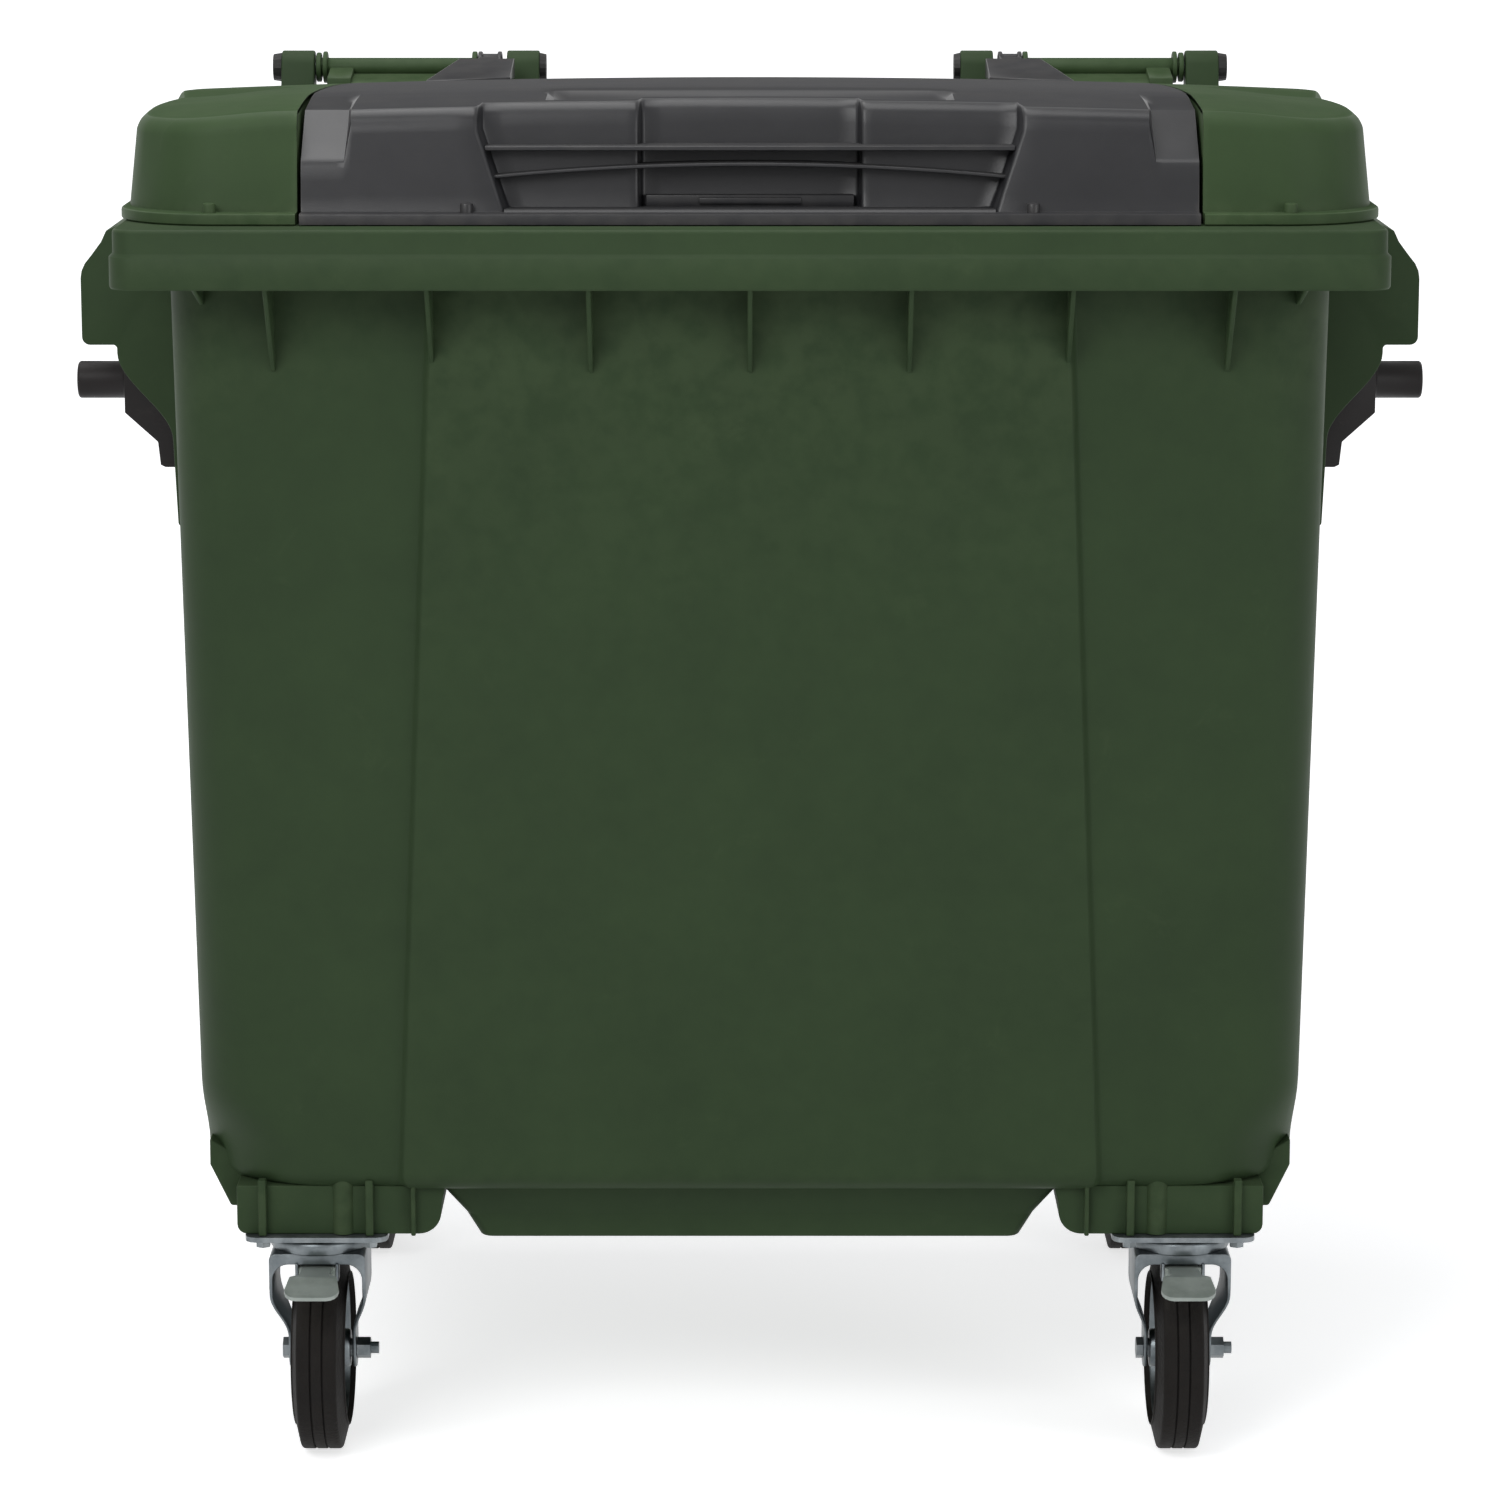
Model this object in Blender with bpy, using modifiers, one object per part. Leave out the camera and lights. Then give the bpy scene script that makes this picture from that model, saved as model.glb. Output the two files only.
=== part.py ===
"""Four-wheeled waste container with a lid in its lid.

The frame is metres with +Z up. The origin is on the floor under the middle of
the container, +X runs along the trunnions and the front faces -Y.
"""

import math

import bmesh
import bpy
from mathutils import Matrix, Vector

# Driving sizes of the tub
RIM_TOP = 1.2325
TUB_BOTTOM = 0.288
FOOT_BOTTOM = 0.235
TUB_WALL = 0.005
TOP_HALF_X = 0.5437
BOTTOM_HALF_X = 0.535
TOP_FRONT = 0.461
BOTTOM_FRONT = 0.391
TOP_REAR = 0.447
BOTTOM_REAR = 0.400
CORNER_RADIUS = 0.062
LOW_CORNER_RADIUS = 0.105
LOW_CORNER_HEIGHT = 0.084
BOTTOM_ROUND = 0.020
PANEL_TOP_MARGIN = 0.2512
PANEL_BOTTOM_MARGIN = 0.1975
PANEL_TOP_HALF = TOP_HALF_X - PANEL_TOP_MARGIN
PANEL_BOTTOM_HALF = BOTTOM_HALF_X - PANEL_BOTTOM_MARGIN
PANEL_STEP = 0.009
PANEL_SLOPE = 0.009

# Driving sizes of the rim
RIM_OVERHANG = 0.0483
RIM_HALF_X = TOP_HALF_X + RIM_OVERHANG
RIM_FRONT = 0.530
RIM_REAR = 0.490
RIM_RADIUS = 0.028
RIM_DROP = 0.0555
RIM_WALL = 0.005
BAND_HEIGHT = 0.030
BAND_PROUD = 0.003
BAND_SLOPE = 0.0015

# Driving sizes of the ribs under the rim
RIB_COUNT_EACH_SIDE = 3
RIB_MARGIN = 0.0967
RIB_PITCH = (TOP_HALF_X - RIB_MARGIN) / RIB_COUNT_EACH_SIDE
RIB_THICK = 0.0045
RIB_DROP = 0.083
RIB_TOE = 0.004
END_RIB_MARGIN = 0.0307
END_RIB_X = TOP_HALF_X - END_RIB_MARGIN
END_RIB_DROP = 0.040
SIDE_RIB_Y = 0.310

# Driving sizes of the hoods over the trunnions
HOOD_HALF_Y = 0.150
HOOD_WALL = 0.005
HOOD_REACH = 0.073
HOOD_OUT = RIM_HALF_X + HOOD_REACH
HOOD_SHOULDER_REACH = 0.0467
HOOD_SHOULDER_OUT = RIM_HALF_X + HOOD_SHOULDER_REACH
HOOD_SHOULDER_DROP = 0.0295
HOOD_BROW_REACH = 0.063
HOOD_BROW_OUT = RIM_HALF_X + HOOD_BROW_REACH
HOOD_BROW_DROP = 0.0555
HOOD_DEPTH = 0.1475
HOOD_LIP_REACH = 0.0383
HOOD_LIP_IN = RIM_HALF_X + HOOD_LIP_REACH
CHEEK_TOE_REACH = 0.0349
CHEEK_TOE_DROP = 0.2425
CHEEK_DEPTH = 0.3275
CHEEK_FOOT = 0.030
HOOD_ROUND = 0.008

# Driving sizes of the trunnions
TRUNNION_DROP = 0.1995
TRUNNION_HEIGHT = RIM_TOP - TRUNNION_DROP
TRUNNION_RADIUS = 0.019
TRUNNION_PROUD = 0.0235
TRUNNION_TIP = HOOD_OUT + TRUNNION_PROUD
TRUNNION_ROOT_REACH = 0.0541
TRUNNION_EDGE = 0.003
BRACKET_HALF_Y = 0.036
BRACKET_UP = 0.030
BRACKET_DOWN = 0.086
BRACKET_NOSE_REACH = 0.0961
BRACKET_TOE_REACH = 0.0606

# Driving sizes of the feet, the trough and the shoulders
FOOT_MARGIN = 0.0315
FOOT_WIDTH = 0.2035
FOOT_OUT = BOTTOM_HALF_X - FOOT_MARGIN
FOOT_IN = FOOT_OUT - FOOT_WIDTH
FOOT_FRONT_REACH = 0.037
FOOT_BACK_REACH = 0.090
FOOT_WALL = 0.005
FOOT_CHAMFER = 0.0095
FOOT_IN_ROUND = 0.022
FOOT_RIB_PROUD = 0.009
SHOULDER_MARGIN = 0.0005
SHOULDER_LOW_MARGIN = 0.022
SHOULDER_OUT = BOTTOM_HALF_X - SHOULDER_MARGIN
SHOULDER_LOW_OUT = BOTTOM_HALF_X - SHOULDER_LOW_MARGIN
SHOULDER_LOW = 0.253
SHOULDER_HIGH = 0.295
BOSS_RADIUS = 0.0095
TROUGH_SPACE = 0.003
TROUGH_SLOPE = 0.038
TROUGH_LIP_STEP = 0.0035
TROUGH_TOP_HALF = FOOT_IN - TROUGH_SPACE
TROUGH_LOW_HALF = TROUGH_TOP_HALF - TROUGH_SLOPE
TROUGH_LIP_HALF = TROUGH_LOW_HALF - TROUGH_LIP_STEP
TROUGH_BOTTOM = 0.2335
TROUGH_LIP = 0.249
TROUGH_REACH = 0.372

# Driving sizes of the hinge line
HINGE_Y = 0.5115
HINGE_RISE = 0.0895
HINGE_Z = RIM_TOP + HINGE_RISE
HINGE_PIN_RADIUS = 0.0055
TOWER_RADIUS = 0.0185
TOWER_BASE = 0.020
TUBE_RADIUS = 0.0105
DISC_RADIUS = 0.0150
CAP_RADIUS = 0.0160
TOWER_WIDTH = 0.0365
HINGE_MARGIN = 0.0715
HINGE_OUT = RIM_HALF_X - HINGE_MARGIN
OUTER_TOWER = (HINGE_OUT - TOWER_WIDTH, HINGE_OUT)
INNER_TOWER = (0.2340, 0.2703)
OUTER_CAP_WIDTH = 0.0095
INNER_CAP_WIDTH = 0.0070
DISC_FAR = 0.0505
DISC_NEAR = 0.0372
TUBE_FAR = 0.050
OUTER_DISC = (HINGE_OUT - DISC_FAR, HINGE_OUT - DISC_NEAR)
MIDDLE_DISC = (0.3035, 0.3090)
TUBE_START = 0.3085
OUTER_TUBE = (TUBE_START, HINGE_OUT - TUBE_FAR)
INNER_BARREL = (0.2759, 0.3023)

# Driving sizes of the lids
LID_WALL = 0.004
FLANGE_SPACE = 0.0005
FLANGE_THICK = 0.0107
FLANGE_LOW = RIM_TOP + FLANGE_SPACE
FLANGE_HIGH = FLANGE_LOW + FLANGE_THICK
FLANGE_MARGIN = 0.0015
FLANGE_HALF_X = RIM_HALF_X - FLANGE_MARGIN
FLANGE_FRONT = 0.485
FLANGE_REAR = 0.4655
LEDGE_WIDTH = 0.008
LID_HALF_X = FLANGE_HALF_X - LEDGE_WIDTH
LID_FRONT = 0.462
LID_REAR = 0.459
LID_CORNER = 0.100
LID_REAR_CORNER = 0.050
LID_LEAN = 0.012
LID_SIDE_LEAN = 0.009
LID_SHOULDER = 0.014
FRONT_SHOULDER = 0.020
REAR_SHOULDER = 0.008
SMALL_SHOULDER = 0.003
SHOULDER_STEP_Y = -0.035
SHOULDER_STEP = 0.015
CREST_RISE = 0.1057
CREST_Z = FLANGE_HIGH + CREST_RISE
CREST_Y = -0.300
CREST_FALL_X = 0.0066
CREST_FALL_REAR = 0.0308
CREST_FALL_FRONT = 0.0065
CREST_SPAN_X = 0.4256
CREST_SPAN_REAR = 0.680
CREST_SPAN_FRONT = 0.1346
WINDOW_MARGIN = 0.162
WINDOW_HALF_X = LID_HALF_X - WINDOW_MARGIN
WINDOW_REAR = 0.385
SEAM = 0.001
INNER_LID_HALF_X = WINDOW_HALF_X - SEAM
INNER_LID_REAR = 0.381
INNER_SIDE_RISE = 0.0083
INNER_SIDE_LOW = FLANGE_HIGH + INNER_SIDE_RISE
BAR_FRONT = 0.400
BAR_REAR = 0.370
BAR_RISE = 0.0045
BAR_THICK = 0.010
BAR_LOW = FLANGE_LOW + BAR_RISE
BAR_HIGH = BAR_LOW + BAR_THICK
SMALL_CORNER = 0.018
BUMP_RADIUS = 0.0062
BUMP_HEIGHT = 0.009
GREEN_BUMP_MARGIN = 0.0805
GREEN_BUMP_X = LID_HALF_X - GREEN_BUMP_MARGIN
GREY_BUMP_X = 0.263
BUMP_Y = 0.470

# Driving sizes of the grip in the small lid
GRIP_TOP_HALF = 0.2528
GRIP_LOW_HALF = 0.2284
GRIP_LOW_RISE = 0.0023
GRIP_HEIGHT = 0.073
GRIP_LOW = FLANGE_HIGH + GRIP_LOW_RISE
GRIP_TOP = GRIP_LOW + GRIP_HEIGHT
GRIP_BACK = 0.410
GRIP_RAIL_DROP = 0.0172
GRIP_RAIL_Z = GRIP_TOP - GRIP_RAIL_DROP
GRIP_RAIL_THICK = 0.0050
GRIP_BOW_LIFT = 0.031
GRIP_BOW_END_Z = GRIP_LOW + GRIP_BOW_LIFT
GRIP_BOW_RISE = 0.0115
GRIP_BOW_THICK = 0.0036
GRIP_FRONT = 0.451
GRIP_BLOCK_IN = 0.104
GRIP_BLOCK_FRONT = 0.428

# Driving sizes of the casters
CASTER_MARGIN = 0.078
CASTER_X = FOOT_OUT - CASTER_MARGIN
CASTER_PITCH_Y = 0.700
CASTER_MIDDLE_Y = 0.005
TRAIL = 0.023
WHEEL_RADIUS = 0.100
PLATE_HALF_X = 0.070
PLATE_HALF_Y = 0.050
PLATE_THICK = 0.005
PLATE_CORNER = 0.012
PLATE_DOME = 0.040
PLATE_DOME_LOW = 0.036
PLATE_DOME_DEPTH = 0.0070
PLATE_BOLT_X = 0.0525
PLATE_BOLT_Y = 0.0375
PLATE_BOLT_RADIUS = 0.004
PLATE_BOLT_AF = 0.013
PLATE_BOLT_HEAD = 0.0065
PLATE_BOLT_GRIP = 0.022
KINGPIN_RADIUS = 0.006
KINGPIN_HEAD_RADIUS = 0.011
KINGPIN_HEAD = 0.004
RING_RADIUS = 0.0485
RING_TOP = 0.2285
RING_LOW = 0.2145
RING_WALL = 0.0075
FORK_HALF_X = 0.0473
FORK_LOW_HALF_X = 0.0333
FORK_THICK = 0.0033
FORK_CROWN = 0.205
FORK_BEND_TOP = 0.166
FORK_BEND_LOW = 0.128
FORK_CORNER = 0.014
FORK_EYE_RADIUS = 0.019
FORK_TOP_HALF_Y = 0.042
TYRE_HALF_X = 0.0285
TREAD_HALF_X = 0.0193
TYRE_SHOULDER = 0.009
TYRE_STEP = 0.023
TYRE_INNER_RADIUS = 0.0745
GROOVE_X = 0.0059
GROOVE_HALF = 0.0009
GROOVE_DEPTH = 0.0022
HUB_RIM_HALF = 0.0215
HUB_RIM_THICK = 0.0040
HUB_WEB_HALF = 0.0025
HUB_BOSS_RADIUS = 0.0190
HUB_BOSS_HALF = 0.0270
SLEEVE_RADIUS = 0.0095
SLEEVE_WALL = 0.0032
AXLE_RADIUS = 0.006
AXLE_TIP = 0.055
AXLE_AF = 0.019
AXLE_HEAD = 0.0067
AXLE_NUT = 0.0133
PEDAL_PIVOT_Y = 0.036
PEDAL_PIVOT_Z = 0.196
PEDAL_PIN_RADIUS = 0.003
PEDAL_LUG_RADIUS = 0.0065
PEDAL_LUG_HALF = 0.0180
PEDAL_NECK_HALF = 0.0145
PEDAL_PAD_HALF = 0.0265
PEDAL_THICK = 0.0035
PEDAL_NECK_Z = 0.2020
PEDAL_KNEE_Y = 0.088
PEDAL_KNEE_Z = 0.2060
PEDAL_TIP_Y = 0.119
PEDAL_TIP_Z = 0.1925
PEDAL_CORNER = 0.012
SHOE_DROP = 0.0125
SHOE_HALF_Y = 0.0045
EAR_HALF_Y = 0.0085
EAR_LOW = 0.1885
EAR_THICK = 0.003

# Shares of a radius, a wall or a reach
SHOULDER_SHARE = 0.3
TUBE_SHARE = 0.9
BARREL_BACK_SHARE = 0.6
BARREL_LOW_SHARE = 0.7
CREST_REAR_POWER = 1.4
CREST_FRONT_POWER = 1.6

# Clearances
GAP = 0.0003
LID_GAP = 0.0008
OVERRUN = 0.010
BITE = 0.0015
MERGE = 0.00005

# Facets
ROUND_SIDES = 20
SMALL_SIDES = 12
BOLT_SIDES = 8
WHEEL_STEPS = 24
CORNER_STEPS = 4


def clear_scene():
    for item in list(bpy.data.objects):
        bpy.data.objects.remove(item, do_unlink=True)


def new_collection(name):
    group = bpy.data.collections.new(name)
    bpy.context.scene.collection.children.link(group)
    return group


def new_material(name, colour, roughness, metallic=0.0):
    material = bpy.data.materials.new(name)
    material.use_nodes = True
    shader = material.node_tree.nodes["Principled BSDF"]
    shader.inputs["Base Color"].default_value = (*colour, 1)
    shader.inputs["Roughness"].default_value = roughness
    shader.inputs["Metallic"].default_value = metallic
    material.diffuse_color = (*colour, 1)
    return material


clear_scene()
PARTS = new_collection("wheeled_waste_container")
CUTTERS = new_collection("cutters")


def object_from(bm, name):
    """Turns a bmesh into a helper object."""
    bmesh.ops.recalc_face_normals(bm, faces=bm.faces)
    mesh = bpy.data.meshes.new(name)
    bm.to_mesh(mesh)
    bm.free()
    item = bpy.data.objects.new(name, mesh)
    CUTTERS.objects.link(item)
    item.hide_render = True
    item.display_type = "WIRE"
    return item


def block(name, low, high):
    """Box between two opposite corners."""
    low = Vector(low)
    high = Vector(high)
    size = high - low
    bm = bmesh.new()
    place = Matrix.Translation((low + high) / 2) @ Matrix.Diagonal((*size, 1))
    bmesh.ops.create_cube(bm, size=1, matrix=place)
    return object_from(bm, name)


def rod(name, start, end, radius, sides=ROUND_SIDES, end_radius=None):
    """Round or hexagonal bar, or a cone, between two points."""
    start = Vector(start)
    end = Vector(end)
    axis = end - start
    turn = axis.to_track_quat("Z", "Y").to_matrix().to_4x4()
    bm = bmesh.new()
    bmesh.ops.create_cone(
        bm,
        cap_ends=True,
        segments=sides,
        radius1=radius,
        radius2=radius if end_radius is None else end_radius,
        depth=axis.length,
        matrix=Matrix.Translation((start + end) / 2) @ turn,
    )
    return object_from(bm, name)


def loft(name, rings):
    """Closed solid through rings of equal length, listed from one end to the other."""
    bm = bmesh.new()
    rows = [[bm.verts.new(point) for point in ring] for ring in rings]
    for below, above in zip(rows, rows[1:]):
        for index, corner in enumerate(below):
            following = (index + 1) % len(below)
            bm.faces.new((corner, below[following], above[following], above[index]))
    bm.faces.new(rows[0])
    bm.faces.new(rows[-1])
    return object_from(bm, name)


def outline_mesh(name, points, thick):
    """Flat outline as a filled curve with thickness, made a mesh about its own plane."""
    curve = bpy.data.curves.new(name, "CURVE")
    curve.dimensions = "2D"
    curve.fill_mode = "BOTH"
    curve.extrude = thick / 2
    spline = curve.splines.new("POLY")
    spline.points.add(len(points) - 1)
    for place, (u, v) in zip(spline.points, points):
        place.co = (u, v, 0, 1)
    spline.use_cyclic_u = True
    drawn = bpy.data.objects.new(name, curve)
    CUTTERS.objects.link(drawn)
    bpy.context.view_layer.update()
    ready = drawn.evaluated_get(bpy.context.evaluated_depsgraph_get())
    mesh = bpy.data.meshes.new_from_object(ready)
    bpy.data.objects.remove(drawn, do_unlink=True)
    bm = bmesh.new()
    bm.from_mesh(mesh)
    bmesh.ops.remove_doubles(bm, verts=bm.verts, dist=GAP / 10)
    bpy.data.meshes.remove(mesh)
    return bm


def plate_xz(name, points, y_low, y_high):
    """Outline in X and Z, thick along Y."""
    bm = outline_mesh(name, points, y_high - y_low)
    stand = Matrix.Rotation(math.radians(90), 4, "X")
    bm.transform(Matrix.Translation((0, (y_low + y_high) / 2, 0)) @ stand)
    return object_from(bm, name)


def plate_yz(name, points, x_low, x_high):
    """Outline in Y and Z, thick along X."""
    bm = outline_mesh(name, points, x_high - x_low)
    stand = Matrix(((0, 0, 1, 0), (1, 0, 0, 0), (0, 1, 0, 0), (0, 0, 0, 1)))
    bm.transform(Matrix.Translation(((x_low + x_high) / 2, 0, 0)) @ stand)
    return object_from(bm, name)


def plate_xy(name, points, z_low, z_high):
    """Outline in X and Y, thick along Z."""
    bm = outline_mesh(name, points, z_high - z_low)
    bm.transform(Matrix.Translation((0, 0, (z_low + z_high) / 2)))
    return object_from(bm, name)


def turned(name, profile, centre, steps):
    """Closed profile of (radius, x) turned round an axis along X through the centre."""
    mesh = bpy.data.meshes.new(name)
    count = len(profile)
    points = [(radius, 0, along) for radius, along in profile]
    edges = [(index, (index + 1) % count) for index in range(count)]
    mesh.from_pydata(points, edges, [])
    item = bpy.data.objects.new(name, mesh)
    CUTTERS.objects.link(item)
    item.location = centre
    item.rotation_euler = (0, math.radians(90), 0)
    screw = item.modifiers.new("turn", "SCREW")
    screw.axis = "Z"
    screw.steps = steps
    screw.render_steps = steps
    screw.use_merge_vertices = True
    screw.merge_threshold = MERGE
    screw.use_smooth_shade = True
    return item


def combine(target, tools, operation):
    """Adds one exact Boolean modifier for each tool."""
    for tool in tools:
        modifier = target.modifiers.new(tool.name, "BOOLEAN")
        modifier.operation = operation
        modifier.solver = "EXACT"
        modifier.object = tool
    return target


def join(target, tools):
    return combine(target, tools, "UNION")


def cut(target, tools):
    return combine(target, tools, "DIFFERENCE")


def make_part(item, name, material, origin=None, smooth=None):
    """Moves a helper to the parts under its own name, material and origin."""
    CUTTERS.objects.unlink(item)
    PARTS.objects.link(item)
    item.hide_render = False
    item.display_type = "TEXTURED"
    item.name = name
    item.data.name = name
    item.data.materials.clear()
    item.data.materials.append(material)
    if origin is not None:
        item.data.transform(Matrix.Translation(-Vector(origin)))
        item.location = origin
    if smooth is not None:
        item.data.shade_smooth()
        item.data.set_sharp_from_angle(angle=math.radians(smooth))
    return item


def arc(centre, radius, start, end, steps):
    """Points of an arc between two angles in degrees."""
    points = []
    for step in range(steps + 1):
        angle = math.radians(start + (end - start) * step / steps)
        points.append((centre[0] + radius * math.cos(angle), centre[1] + radius * math.sin(angle)))
    return points


def rounded_outline(half_x, front, rear, front_radius, rear_radius, steps=CORNER_STEPS):
    """Rounded rectangle in X and Y, anticlockwise from the front of its +X side."""
    points = arc((half_x - front_radius, front + front_radius), front_radius, -90, 0, steps)
    points += arc((half_x - rear_radius, rear - rear_radius), rear_radius, 0, 90, steps)
    points += arc((rear_radius - half_x, rear - rear_radius), rear_radius, 90, 180, steps)
    points += arc((front_radius - half_x, front + front_radius), front_radius, 180, 270, steps)
    return points


def at_height(points, z):
    return [(x, y, z) for x, y in points]


def between(low_value, high_value, share):
    return low_value + (high_value - low_value) * share


def mirrored(points):
    """The same outline on the other side of X = 0."""
    return [(-x, z) for x, z in reversed(points)]


def wall_share(z):
    """Height as a share of the tub, from its bottom to its rim."""
    return (z - TUB_BOTTOM) / (RIM_TOP - TUB_BOTTOM)


def front_wall(z):
    """Y of the middle panel's outer face."""
    return -between(BOTTOM_FRONT, TOP_FRONT, wall_share(z)) - PANEL_STEP


def rear_wall(z):
    return between(BOTTOM_REAR, TOP_REAR, wall_share(z))


def side_wall(z):
    return between(BOTTOM_HALF_X, TOP_HALF_X, wall_share(z))


def tub_ring(z, inset, front_radius):
    """Section of the tub with its proud middle panel, drawn in by the inset."""
    share = wall_share(z)
    front = -between(BOTTOM_FRONT, TOP_FRONT, share) + inset
    points = rounded_outline(
        side_wall(z) - inset,
        front,
        rear_wall(z) - inset,
        max(front_radius - inset, TUB_WALL),
        max(CORNER_RADIUS - inset, TUB_WALL),
    )
    panel = between(PANEL_BOTTOM_HALF, PANEL_TOP_HALF, share) - inset / 2
    points.append((-panel - PANEL_SLOPE, front))
    points.append((-panel, front - PANEL_STEP))
    points.append((panel, front - PANEL_STEP))
    points.append((panel + PANEL_SLOPE, front))
    return at_height(points, z)


def tub_rings(inset, top):
    """Rings from the rounded bottom edge to the top."""
    rings = []
    edge = BOTTOM_ROUND - inset
    for angle in (0, 35, 65, 90):
        turn = math.radians(angle)
        z = TUB_BOTTOM + BOTTOM_ROUND - edge * math.cos(turn)
        rings.append(tub_ring(z, inset + edge * (1 - math.sin(turn)), LOW_CORNER_RADIUS))
    rings.append(tub_ring(TUB_BOTTOM + LOW_CORNER_HEIGHT, inset, CORNER_RADIUS))
    rings.append(tub_ring(top, inset, CORNER_RADIUS))
    return rings


def rim_solid():
    """Rim as a slab with a proud lower band."""
    step_z = RIM_TOP - RIM_DROP + BAND_HEIGHT
    levels = (
        (RIM_TOP - RIM_DROP, 0),
        (step_z, 0),
        (step_z + BAND_SLOPE, BAND_PROUD),
        (RIM_TOP - RIM_WALL / 4, BAND_PROUD),
        (RIM_TOP, BAND_PROUD + RIM_WALL / 4),
    )
    rings = []
    for z, inset in levels:
        points = rounded_outline(
            RIM_HALF_X - inset,
            -RIM_FRONT + inset,
            RIM_REAR - inset,
            RIM_RADIUS,
            RIM_RADIUS,
        )
        rings.append(at_height(points, z))
    return loft("rim_slab", rings)


def rim_channel():
    """Space under the rim's ledge, inside its skirt."""
    inset = RIM_WALL + BAND_PROUD
    points = rounded_outline(
        RIM_HALF_X - inset,
        -RIM_FRONT + inset,
        RIM_REAR - inset,
        RIM_RADIUS - RIM_WALL,
        RIM_RADIUS - RIM_WALL,
    )
    low = at_height(points, RIM_TOP - RIM_DROP - OVERRUN)
    high = at_height(points, RIM_TOP - RIM_WALL)
    return loft("rim_channel", [low, high])


def rib_outline(wall_y, toe_wall_y, skirt_y, drop):
    """Rib from the rim's ledge down to its toe on the wall, in Y and Z."""
    inward = 1 if wall_y > skirt_y else -1
    top = RIM_TOP - RIM_WALL / 2
    toe = RIM_TOP - RIM_DROP - drop
    return [
        (wall_y + inward * TUB_WALL / 2, top),
        (skirt_y, top),
        (skirt_y, RIM_TOP - RIM_DROP + BITE),
        (toe_wall_y - inward * RIB_TOE, toe),
        (toe_wall_y + inward * TUB_WALL / 2, toe),
    ]


def front_ribs():
    """Ribs under the front and the rear of the rim."""
    ribs = []
    skirt_front = -RIM_FRONT + RIM_WALL
    skirt_rear = RIM_REAR - RIM_WALL
    for index in range(-RIB_COUNT_EACH_SIDE, RIB_COUNT_EACH_SIDE + 1):
        x = index * RIB_PITCH
        toe = RIM_TOP - RIM_DROP - RIB_DROP
        step = 0 if abs(x) < PANEL_TOP_HALF else PANEL_STEP
        front = rib_outline(front_wall(RIM_TOP) + step, front_wall(toe) + step, skirt_front, RIB_DROP)
        rear = rib_outline(rear_wall(RIM_TOP), rear_wall(toe), skirt_rear, RIB_DROP)
        for side, points in (("front", front), ("rear", rear)):
            name = f"{side}_rib_{index + RIB_COUNT_EACH_SIDE}"
            ribs.append(plate_yz(name, points, x - RIB_THICK / 2, x + RIB_THICK / 2))
    toe = RIM_TOP - RIM_DROP - END_RIB_DROP
    corner = front_wall(toe) + PANEL_STEP + CORNER_RADIUS / 3
    for side in (-1, 1):
        points = rib_outline(corner, corner, skirt_front, END_RIB_DROP)
        x = side * END_RIB_X
        ribs.append(plate_yz(f"end_rib_{side}", points, x - RIB_THICK / 2, x + RIB_THICK / 2))
    return ribs


def side_ribs():
    """Ribs under the rim's two ends."""
    ribs = []
    toe = RIM_TOP - RIM_DROP - END_RIB_DROP
    points = rib_outline(side_wall(RIM_TOP), side_wall(toe), RIM_HALF_X - RIM_WALL, END_RIB_DROP)
    for side, drawn in ((1, points), (-1, mirrored(points))):
        for y in (-SIDE_RIB_Y, SIDE_RIB_Y):
            name = f"side_rib_{side}_{'front' if y < 0 else 'rear'}"
            ribs.append(plate_xz(name, drawn, y - RIB_THICK / 2, y + RIB_THICK / 2))
    return ribs


def hood_outline(inset):
    """Hood over the trunnion, from the rim down to its lip, in X and Z."""
    low = RIM_TOP - HOOD_DEPTH
    out = HOOD_OUT - inset
    points = [
        (RIM_HALF_X - RIM_WALL - inset, RIM_TOP - RIM_WALL * 2 - inset),
        (HOOD_SHOULDER_OUT - inset, RIM_TOP - HOOD_SHOULDER_DROP - inset),
        (HOOD_BROW_OUT - inset, RIM_TOP - HOOD_BROW_DROP - inset),
        (out - HOOD_WALL / 2, RIM_TOP - HOOD_BROW_DROP - HOOD_DEPTH / 5),
        (out, low + HOOD_ROUND),
    ]
    if inset:
        wall = side_wall(RIM_TOP) + GAP
        points.append((out, low - OVERRUN))
        points.append((wall, low - OVERRUN))
        points.append((wall, RIM_TOP - RIM_WALL * 2 - inset))
    else:
        wall = side_wall(low) - TUB_WALL / 2
        points += arc((out - HOOD_ROUND, low + HOOD_ROUND), HOOD_ROUND, -20, -90, 3)
        points.append((wall, low))
        points.append((wall, RIM_TOP - RIM_WALL * 2))
    return points


def cheek_outline():
    """Cheek plate beside the trunnion, an S curve from the hood's lip to the wall."""
    lip_z = RIM_TOP - HOOD_DEPTH
    toe_z = RIM_TOP - CHEEK_TOE_DROP
    foot_z = RIM_TOP - CHEEK_DEPTH
    toe_out = side_wall(toe_z) + CHEEK_TOE_REACH
    points = [(HOOD_LIP_IN, lip_z + HOOD_ROUND)]
    steps = 8
    for step in range(steps + 1):
        share = step / steps
        ease = share * share * (3 - 2 * share)
        points.append((between(HOOD_LIP_IN, toe_out, ease), between(lip_z - HOOD_ROUND, toe_z, share)))
    points.append((toe_out - BAND_PROUD, foot_z))
    points.append((side_wall(foot_z) - TUB_WALL / 2, foot_z - CHEEK_FOOT))
    points.append((side_wall(lip_z) - TUB_WALL / 2, lip_z + HOOD_ROUND))
    return points


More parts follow.
